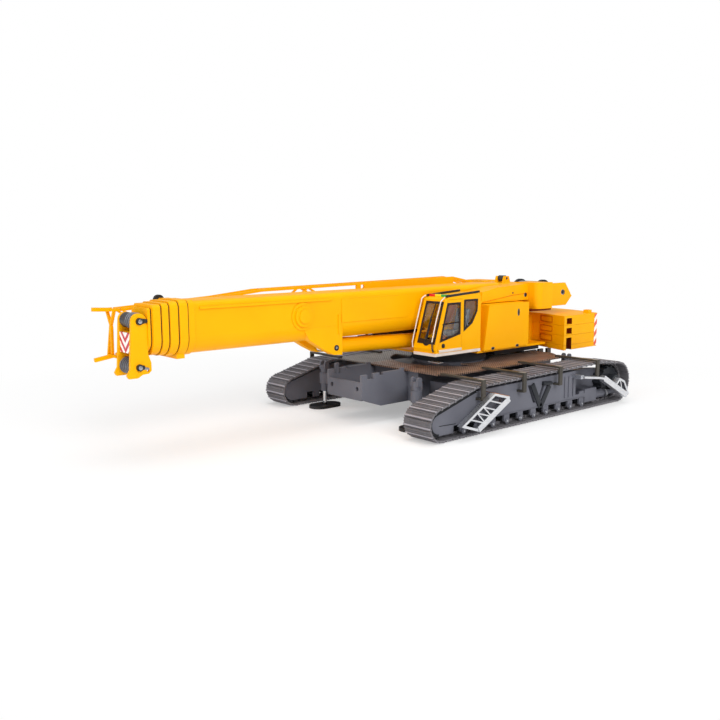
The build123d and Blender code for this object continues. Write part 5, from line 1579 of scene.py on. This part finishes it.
@dataclass
class Superstructure:
    """The slewing upper works: turntable, frame, covers, counterweight and winch.

    Attributes:
        winch: X and Z of the winch's middle.
        rope_radius: Radius at which the rope lies.
        rope_turns: Number of turns of rope.
        rope_pitch: Distance between turns.
        plate: Distance of the body cover's outer face from the middle plane.
        shoulder: Distance of the shoulder's outer face.
        cheek: Distance of the winch cheeks' outer face.
    """

    winch: Point2 = (-77.0, 63.0)
    rope_radius: float = 5.75
    rope_turns: int = 15
    rope_pitch: float = 1.15
    plate: float = 30.0
    shoulder: float = 22.0
    cheek: float = 25.0

    def build(self, repeats: Repeats) -> None:
        """Builds and dresses the upper works.

        Args:
            repeats: The shared trees.
        """
        dress(Paint.DARK, "turntable", "winch_drum")
        dress(Paint.YELLOW, "upper_frame", "body_cover_left", "body_cover_right")
        dress(Paint.YELLOW, *(f"counterweight_slab_{n}" for n in (1, 2, 3, 4)))
        dress(Paint.STEEL, "boom_pivot_pin")
        ring = oval(self.winch, 2 * self.rope_radius, 2 * self.rope_radius, 24)
        first = -self.rope_pitch * (self.rope_turns - 1) / 2
        ys = [first + self.rope_pitch * n for n in range(self.rope_turns)]
        turns = [[(x, y, z) for x, z in ring] for y in ys]
        repeats.bar(
            "winch_rope", turns, Paint.ROPE, "winch", "polished_steel", 0.56, 0.0, 8, closed=True
        )
        for side, hand in SIDES:
            self.latches(side, hand)
            self.trim(side, hand)
        Shape().box((26.0, 12.0, 28.1), (29.6, 20.6, 28.8)).piece(
            "turntable_step", Paint.ALUMINIUM, "superstructure", "bright_metal", 0.1
        )

    def face(self, y: float, z: float) -> float:
        """Works out X of the counterweight's front face.

        Args:
            y: Y on the face.
            z: Height on it, which makes no difference.

        Returns:
            X.
        """
        return -62.0 + (abs(y) - 18.8) * 7.8 / 23.9

    def latches(self, side: str, hand: int) -> None:
        """Adds one side's latches, holes and seam.

        Args:
            side: "left" or "right".
            hand: 1 for the left, -1 for the right.
        """
        rims, holes = Shape(), Shape()
        plate, shoulder, cheek = hand * self.plate, hand * self.shoulder, hand * self.cheek
        # Each hole's middle, width, height and face, then how far its rim reaches and stands out.
        for centre, wide, high, near, lap, rise in (
            ((-27.1, 53.9), 1.6, 3.9, plate, 0.4, 0.08),
            ((-26.4, 34.5), 2.6, 1.3, plate, 0.4, 0.08),
            ((-4.6, 34.7), 2.6, 1.3, plate, 0.4, 0.08),
            ((-43.2, 62.9), 2.2, 2.2, shoulder, 0.7, 0.1),
            ((-76.2, 63.2), 2.6, 2.6, cheek, 0.7, 0.1),
        ):
            far = near + hand * rise
            rims.prism(Plane3.SIDE, oval(centre, wide + lap, high + lap), near, far)
            holes.prism(Plane3.SIDE, oval(centre, wide, high), near, far + hand * 0.06)
        bolt = oval((-31.3, 64.6), 1.2, 1.2)
        holes.prism(Plane3.SIDE, bolt, shoulder, shoulder + hand * 0.12)
        rims.piece(f"latch_rims_{side}", Paint.STEEL, "superstructure", "bright_metal", 0.03)
        holes.piece(f"latches_{side}", Paint.BLACK, "superstructure", "black_plastic", 0.03)
        # The seam is a thin darker strip: painted shade in the joint.
        seam = [(-4.0, 60.3), (-30.9, 63.2), (-45.0, 63.9)]
        Shape().strip(Plane3.SIDE, seam, 0.35, shoulder, shoulder + hand * 0.1).piece(
            f"shoulder_seam_{side}", Paint.SEAM_SHADE, "superstructure", "yellow_enamel", 0.03
        )

    def trim(self, side: str, hand: int) -> None:
        """Adds one side's grips, the painted shade in the counterweight's slots and under the
        bracket box, and the counterweight's stripes.

        Args:
            side: "left" or "right".
            hand: 1 for the left, -1 for the right.
        """
        # The grips' outlines are darker yellow: painted shade in their grooves.
        grips = Shape()
        near, far = hand * 19.8, hand * 31.8
        for low, high in ((45.5, 49.7), (39.9, 43.9), (34.2, 38.4)):
            grip = [(near, low), (far, low), (far, high), (near, high)]
            grips.seal(Plane3.ACROSS, grip, 0.0, 0.7, 1.3, 0.0, 0.35)
        grips.lean(self.face).piece(
            f"counterweight_grips_{side}", Paint.SEAM_SHADE, "superstructure", "yellow_enamel", 0.08
        )
        # Dark liners in the counterweight's slots: painted shade.
        slots = Shape()
        inner, corner, outer = hand * 39.72, hand * 39.9, hand * 42.6
        for low, high in ((30.1, 37.2), (39.6, 43.1), (45.5, 49.0)):
            slots.box((-61.9, inner, low), (-56.7, corner, high))
            slots.box((-61.98, corner, low), (-61.8, outer, high))
        slots.piece(
            f"counterweight_slot_shade_{side}", Paint.CAVITY_SHADE, "superstructure", "yellow_enamel", 0.0
        )
        # A dark plate under the bracket box: painted shade.
        Shape().box((-58.6, hand * 21.5, 53.5), (-39.2, hand * 29.6, 54.5)).piece(
            f"bracket_shade_{side}", Paint.CAVITY_SHADE, "superstructure", "yellow_enamel", 0.0
        )
        edge = hand * 42.7
        band = [(-85.4, 30.6), (-88.0, 30.6), (-88.0, 50.2), (-85.4, 50.2)]
        Shape().prism(Plane3.SIDE, band, edge, edge + hand * 0.08).piece(
            f"counterweight_stripes_{side}", Paint.STRIPES, "superstructure", "pale_trim", 0.0
        )


@dataclass
class Cab:
    """The driver's cab.

    Attributes:
        front_x: X of the sloping front at `front_z`.
        front_z: Height of that point.
        slope: Run of the front along X for each millimetre of height.
        side_y: Y of the door's outer face.
    """

    front_x: float = 42.3
    front_z: float = 38.0
    slope: float = -0.309
    side_y: float = 30.0

    def build(self, repeats: Repeats) -> None:
        """Builds and dresses the cab.

        Args:
            repeats: The shared trees.
        """
        dress(Paint.YELLOW, "cab_shell", "cab_door")
        dress(Paint.PALE, "cab_base")
        dress(Paint.GLASS, "cab_glass")
        dress(Paint.SEAT, "cab_seat")
        dress(Paint.BLACK, "cab_roof_rails")
        dress(Paint.LAMPS, "cab_lamp_bar")
        self.seals()
        self.wiper(repeats)
        self.rails(repeats)
        plate, hinge = self.side_y, (36.3, 39.7)
        knob = Shape().disc(Plane3.SIDE, hinge, 1.2, plate, plate + 0.35)
        knob.disc(Plane3.SIDE, hinge, 0.7, plate + 0.35, plate + 0.7, 20)
        knob.piece("cab_door_handle", Paint.BLACK, "cab", "black_plastic", 0.08)
        strip = [(21.8, 36.1), (39.4, 36.1), (39.4, 37.6), (21.8, 37.6)]
        Shape().prism(Plane3.SIDE, strip, plate, plate + 0.22).piece(
            "cab_side_strip", Paint.PALE, "cab", "pale_trim", 0.08
        )

    def front(self, y: float, z: float) -> float:
        """Works out X of the sloping front.

        Args:
            y: Y on the front, which makes no difference.
            z: Height on it.

        Returns:
            X.
        """
        return self.front_x + self.slope * (z - self.front_z)

    def seals(self) -> None:
        """Adds the dark seals round the windows."""
        screen = [(16.0, 41.0), (28.5, 41.0), (28.5, 62.8), (16.0, 62.8)]
        skirt = [
            (16.2, 43.4), (28.3, 42.2), (28.3, 41.0), (24.8, 40.6),
            (23.4, 39.7), (21.6, 39.7), (20.2, 40.7), (16.2, 41.0),
        ]
        pane = Shape().seal(Plane3.ACROSS, screen, 0.35, 1.25, 1.8, 0.02, 0.28)
        pane.prism(Plane3.ACROSS, skirt, 0.05, 0.32).lean(self.front).piece(
            "cab_windscreen_seal", Paint.RUBBER_AND_GAP_SHADE, "cab", "black_plastic", 0.06
        )
        door = [(33.0, 62.2), (23.1, 62.2), (23.1, 45.3), (38.6, 42.0)]
        rear = [(19.9, 63.4), (9.1, 63.4), (9.4, 57.1), (13.4, 50.6), (20.0, 46.7)]
        near, far = self.side_y + 0.01, self.side_y + 0.2
        side = Shape()
        for window in (door, rear):
            side.seal(Plane3.SIDE, window, 0.3, 1.1, 1.5, near, far)
        side.strip(Plane3.SIDE, [(37.0, 51.1), (23.4, 51.7)], 0.7, near, far - 0.04)
        side.piece("cab_side_seals", Paint.RUBBER_AND_GAP_SHADE, "cab", "black_plastic", 0.05)

    def wiper(self, repeats: Repeats) -> None:
        """Adds the windscreen wiper, and the console behind the glass.

        Args:
            repeats: The shared trees.
        """
        console = [(33.5, 35.4), (40.4, 35.4), (38.4, 42.4), (35.0, 43.4)]
        Shape().prism(Plane3.SIDE, console, 18.4, 26.2).piece(
            "cab_console", Paint.BLACK, "cab", "black_plastic", 0.3
        )
        link = [(21.0, 43.4), (22.9, 43.2), (23.1, 53.6), (22.5, 53.6)]
        Shape().prism(Plane3.ACROSS, link, 0.35, 0.7).lean(self.front).piece(
            "cab_wiper_link", Paint.BLACK, "cab", "black_plastic", 0.05
        )
        # Y, Z and distance from the windscreen.
        arm = [(21.9, 41.0, 0.4), (21.9, 42.2, 0.9), (22.4, 53.4, 0.9), (22.9, 57.0, 0.75)]
        path = [(self.front(y, z) + gap, y, z) for y, z, gap in arm]
        repeats.bar("cab_wiper_arm", [path], Paint.BLACK, "cab", "black_plastic", 0.26, 0.6, 8)
        blade = [(22.0, 50.0), (22.4, 50.0), (23.7, 62.0), (23.3, 62.0)]
        Shape().prism(Plane3.ACROSS, blade, 0.4, 0.75).lean(self.front).piece(
            "cab_wiper_blade", Paint.BLACK, "cab", "black_plastic", 0.04
        )

    def rails(self, repeats: Repeats) -> None:
        """Adds the pale grab rails in front of the cab's pillars, and the dark foot of one.

        Args:
            repeats: The shared trees.
        """
        inner = [
            (33.5, 13.9, 66.0), (36.2, 13.8, 64.6), (39.6, 13.5, 53.0),
            (42.9, 13.2, 41.0), (42.6, 13.2, 38.0),
        ]
        outer = [(33.8, 28.6, 65.6), (36.6, 28.4, 63.4), (40.0, 27.9, 51.8), (42.7, 27.9, 42.0)]
        rails = [inner, outer]
        repeats.bar("cab_grab_rails", rails, Paint.PALE, "cab", "pale_trim", 0.32, 1.2)
        foot = [outer[-1], (43.0, 28.4, 38.6), (42.6, 28.8, 36.6)]
        repeats.bar("cab_rail_foot", [foot], Paint.BLACK, "cab", "black_plastic", 0.4, 0.6)


@dataclass
class Boom:
    """The telescopic boom, its head, the luffing cylinder and the stowed jib.

    Attributes:
        half_width: Half the base section's width.
        low_z: Height of its belly.
        high_z: Height of its top.
        belly_radius: Radius of its lower corners.
        top_radius: Radius of its upper corners.
        base_front: X of its front end.
        wall: Step from one section to the next inside it.
        collars: Length of each section's collar, and how far it stands proud of the base.
        eye: X and Z of the luffing cylinder's upper eye.
        upper_pin: X and Z of the head's upper pin.
        lower_pin: X and Z of its lower pin.
    """

    half_width: float = 10.0
    low_z: float = 46.1
    high_z: float = 70.0
    belly_radius: float = 8.0
    top_radius: float = 2.6
    base_front: float = 176.5
    wall: float = 1.0
    collars: tuple[Point2, ...] = ((3.9, 0.8), (3.7, 0.3), (2.9, -0.3), (3.6, -0.8), (1.2, -2.2))
    eye: Point2 = (93.4, 41.9)
    upper_pin: Point2 = (198.2, 62.4)
    lower_pin: Point2 = (198.9, 42.6)

    def build(self) -> None:
        """Builds and dresses the boom."""
        dress(Paint.YELLOW, "boom_base", "boom_head", "jib_lattice", "jib_end_frame")
        dress(Paint.YELLOW, *(f"boom_section_{n}" for n in (1, 2, 3, 4, 5)))
        dress(Paint.BLACK, "head_pins", "boom_guide_wheel")
        dress(Paint.CHEVRON, "head_marker_plate")
        dress(Paint.SHEAVE, "head_sheaves_upper", "head_sheaves_lower", "foot_sheave")
        dress(Paint.YELLOW, "luffing_barrel")
        dress(Paint.CHROME, "luffing_rod")
        tips, caps, eyes = Shape(), Shape(), Shape()
        for hand in (1, -1):
            for centre in (self.upper_pin, self.lower_pin):
                tips.disc(Plane3.SIDE, centre, 0.95, hand * 8.2, hand * 8.5, 20)
            caps.disc(Plane3.SIDE, self.eye, 1.5, hand * 10.0, hand * 10.25)
            eyes.disc(Plane3.SIDE, self.eye, 0.75, hand * 10.25, hand * 10.45, 20)
        tips.piece("head_pin_tips", Paint.STEEL, "tele_5", "bright_metal", 0.08)
        caps.piece("boom_eye_caps", Paint.BLACK, "boom", "black_plastic", 0.06)
        eyes.piece("boom_eye_pins", Paint.STEEL, "boom", "bright_metal", 0.06)
        self.collar_gap_shades()
        self.head()
        pipes = Shape().rod((20.0, 0.0, 45.3), (60.0, 0.0, 45.3), 0.55)
        pipes.rod((16.0, -7.5, 43.4), (64.0, -7.5, 43.4), 1.0, 14)
        for x in (22.0, 40.0, 58.0):
            pipes.box((x - 0.7, -8.0, 43.8), (x + 0.7, -7.0, 49.4))
            pipes.box((x - 0.7, -0.5, 45.4), (x + 0.7, 0.5, 46.3))
        pipes.piece("boom_belly_pipes", Paint.BLACK, "boom", "black_plastic", 0.0)

    def section(self, reach: float) -> list[Point2]:
        """Works out the boom's cross-section, its sides moved inwards.

        Args:
            reach: How far inside the base section's outer face.

        Returns:
            The points in Y and Z.
        """
        half = self.half_width - reach
        top = (self.high_z - reach, -1, self.top_radius)
        belly = (self.low_z + reach, 1, self.belly_radius)
        points = []
        # Each corner's first angle, its side, and the top's or the belly's edge and radius.
        for start, side, (edge, inward, full) in (
            (0, 1, top),
            (90, -1, top),
            (180, -1, belly),
            (270, 1, belly),
        ):
            radius = max(full - reach, 1.0)
            mid_y, mid_z = side * (half - radius), edge + inward * radius
            for turn in (math.radians(start + 15 * k) for k in range(7)):
                points.append((mid_y + radius * math.cos(turn), mid_z + radius * math.sin(turn)))
        return points

    def collar_gap_shades(self) -> None:
        """Adds dark rings of painted shade in the gaps between the sections' collars."""
        front = self.base_front
        bodies = ("boom", "tele_1", "tele_2", "tele_3", "tele_4")
        proud = (0.5,) + tuple(rise for _, rise in self.collars)
        for n, (long, rise) in enumerate(self.collars):
            outer = self.section(0.25 - min(proud[n], rise))
            inner = self.section((n + 1) * self.wall - 0.12)
            # Dark rings: painted shade in the collar gaps.
            Shape().ring(Plane3.ACROSS, outer, inner, front, front + 0.42).piece(
                f"collar_gap_shade_{n + 1}", Paint.RUBBER_AND_GAP_SHADE, bodies[n], "black_plastic", 0.0
            )
            front += 0.55 + long

    def head(self) -> None:
        """Adds the pins' keepers and the worn rims of the head's wheels."""
        upper = [(198.2, 63.8), (194.6, 63.2), (193.4, 62.4), (194.6, 61.8), (198.2, 61.0)]
        lower = [(198.9, 43.9), (196.6, 43.4), (196.6, 41.8), (198.9, 41.3)]
        blade = [(198.4, 43.3), (194.6, 42.2), (194.4, 41.4), (198.4, 41.6)]
        dark, bright = Shape(), Shape()
        for hand in (1, -1):
            near, far = hand * 7.0, hand * 7.7
            dark.prism(Plane3.SIDE, upper, near, far).prism(Plane3.SIDE, lower, near, far)
            bright.prism(Plane3.SIDE, blade, near, far - hand * 0.2)
        dark.piece("head_keepers", Paint.BLACK, "tele_5", "black_plastic", 0.12)
        bright.piece("head_keepers_bright", Paint.STEEL, "tele_5", "bright_metal", 0.12)
        for name, centre, radius, ys in (
            ("lower", self.lower_pin, 3.75, (-4.5, -2.7, -0.9, 0.9, 2.7, 4.5)),
            ("upper", self.upper_pin, 3.6, (1.0, 2.8, 4.6)),
        ):
            rims = Shape()
            for y in ys:
                rims.disc(Plane3.SIDE, centre, radius, y - 0.2, y + 0.2, 28)
            rims.piece(f"head_rims_{name}", Paint.RIB, f"{name}_sheaves", "black_plastic", 0.06)


# ------------------------------------------------------------------------------ stage


@dataclass
class Stage:
    """The floor, the light and the camera.

    Attributes:
        eye: The camera's place.
        yaw: The way it looks, in degrees from X.
        pitch: How far it looks up.
        roll: How far it leans.
        lens: Focal length on a sensor 36 mm wide.
        surround: Strength of the pale surround.
        lamps: Each lamp's name, place, size and power.
        target: Where the lamps point.
    """

    eye: Point3 = (346.7, 326.0, 95.9)
    yaw: float = -130.40
    pitch: float = -8.475
    roll: float = -0.336
    lens: float = 40.15
    surround: float = 0.51
    lamps: tuple[tuple[str, Point3, float, float], ...] = (
        ("key", (300, 1100, 700), 700, 9.0),
        ("front", (1300, 150, 450), 700, 5.0),
        ("top", (-60, 100, 1100), 900, 4.0),
    )
    target: Point3 = (20, 0, 40)

    def build(self) -> None:
        """Sets up everything round the crane."""
        self.floor()
        self.light()
        self.camera()
        bpy.context.scene.view_settings.view_transform = "Standard"

    def floor(self) -> None:
        """Adds a plain pale floor that fades to white away from the crane, and keeps its shadow."""
        mesh = bpy.data.meshes.new("floor")
        reach = 12.0
        corners = [(-reach, -reach, 0), (reach, -reach, 0), (reach, reach, 0), (-reach, reach, 0)]
        mesh.from_pydata(corners, [], [(0, 1, 2, 3)])
        made = linked("floor", mesh)
        material = bpy.data.materials.new("floor_pale_card")  # matt white card
        material.use_nodes = True
        tree = material.node_tree
        tree.nodes.clear()
        matt = add_node(tree, "ShaderNodeBsdfDiffuse", {"Color": (0.92, 0.92, 0.92, 1.0)})
        white = add_node(tree, "ShaderNodeEmission", {"Color": (1, 1, 1, 1), "Strength": 1.0})
        place = add_node(tree, "ShaderNodeTexCoord").outputs["Object"]
        away = add_node(tree, "ShaderNodeVectorMath", {0: place}, operation="LENGTH")
        fading = {"From Min": 0.12, "From Max": 0.30, "To Min": 0.35, "To Max": 1.0}
        fade = add_node(tree, RANGE, {"Value": away.outputs["Value"], **fading}).outputs[0]
        seen = add_node(tree, "ShaderNodeLightPath").outputs["Is Camera Ray"]
        share = add_node(tree, MATH, {0: fade, 1: seen}, operation="MULTIPLY").outputs[0]
        layers = {0: share, 1: matt.outputs[0], 2: white.outputs[0]}
        skin = add_node(tree, "ShaderNodeMixShader", layers)
        add_node(tree, "ShaderNodeOutputMaterial", {"Surface": skin.outputs[0]})
        mesh.materials.append(material)

    def light(self) -> None:
        """Adds a pale surround and soft lamps."""
        world = bpy.data.worlds.new("studio")
        bpy.context.scene.world = world
        world.use_nodes = True
        tree = world.node_tree
        tree.nodes.clear()
        path = add_node(tree, "ShaderNodeLightPath").outputs
        rays = {0: path["Is Camera Ray"], 1: path["Is Transmission Ray"]}
        seen = add_node(tree, MATH, rays, operation="MAXIMUM").outputs[0]
        levels = {"Value": seen, "To Min": self.surround, "To Max": 1.0}
        strength = add_node(tree, RANGE, levels).outputs[0]
        glow = {"Color": (1, 1, 1, 1), "Strength": strength}
        sky = add_node(tree, "ShaderNodeBackground", glow)
        add_node(tree, "ShaderNodeOutputWorld", {"Surface": sky.outputs[0]})
        for name, place, size, power in self.lamps:
            lamp = bpy.data.lights.new(name, "AREA")
            lamp.shape = "DISK"
            lamp.size = size * MM
            lamp.energy = power
            made = linked(name, lamp)
            made.location = at(*place)
            aim = at(*self.target) - made.location
            made.rotation_euler = aim.to_track_quat("-Z", "Y").to_euler()

    def camera(self) -> None:
        """Adds the camera."""
        lens = bpy.data.cameras.new("view")
        lens.lens = self.lens
        lens.sensor_width = 36.0
        lens.clip_start = 0.01
        made = linked("view", lens)
        yaw, pitch, roll = (math.radians(angle) for angle in (self.yaw, self.pitch, self.roll))
        level = math.cos(pitch)
        ahead = Vector((level * math.cos(yaw), level * math.sin(yaw), math.sin(pitch)))
        right = ahead.cross(Vector((0, 0, 1))).normalized()
        up = right.cross(ahead)
        leaned_right = right * math.cos(roll) + up * math.sin(roll)
        leaned_up = up * math.cos(roll) - right * math.sin(roll)
        turn = Matrix((leaned_right, leaned_up, -ahead)).transposed().to_4x4()
        made.matrix_world = Matrix.Translation(at(*self.eye)) @ turn
        bpy.context.scene.camera = made


def main() -> None:
    """Builds the crane's looks in order."""
    repeats = Repeats()
    for name, hand in SIDES:
        Crawler(name, hand).build(repeats)
    Carrier().build()
    Superstructure().build(repeats)
    Cab().build(repeats)
    Boom().build()
    Stage().build()


if __name__ == "__main__":
    main()
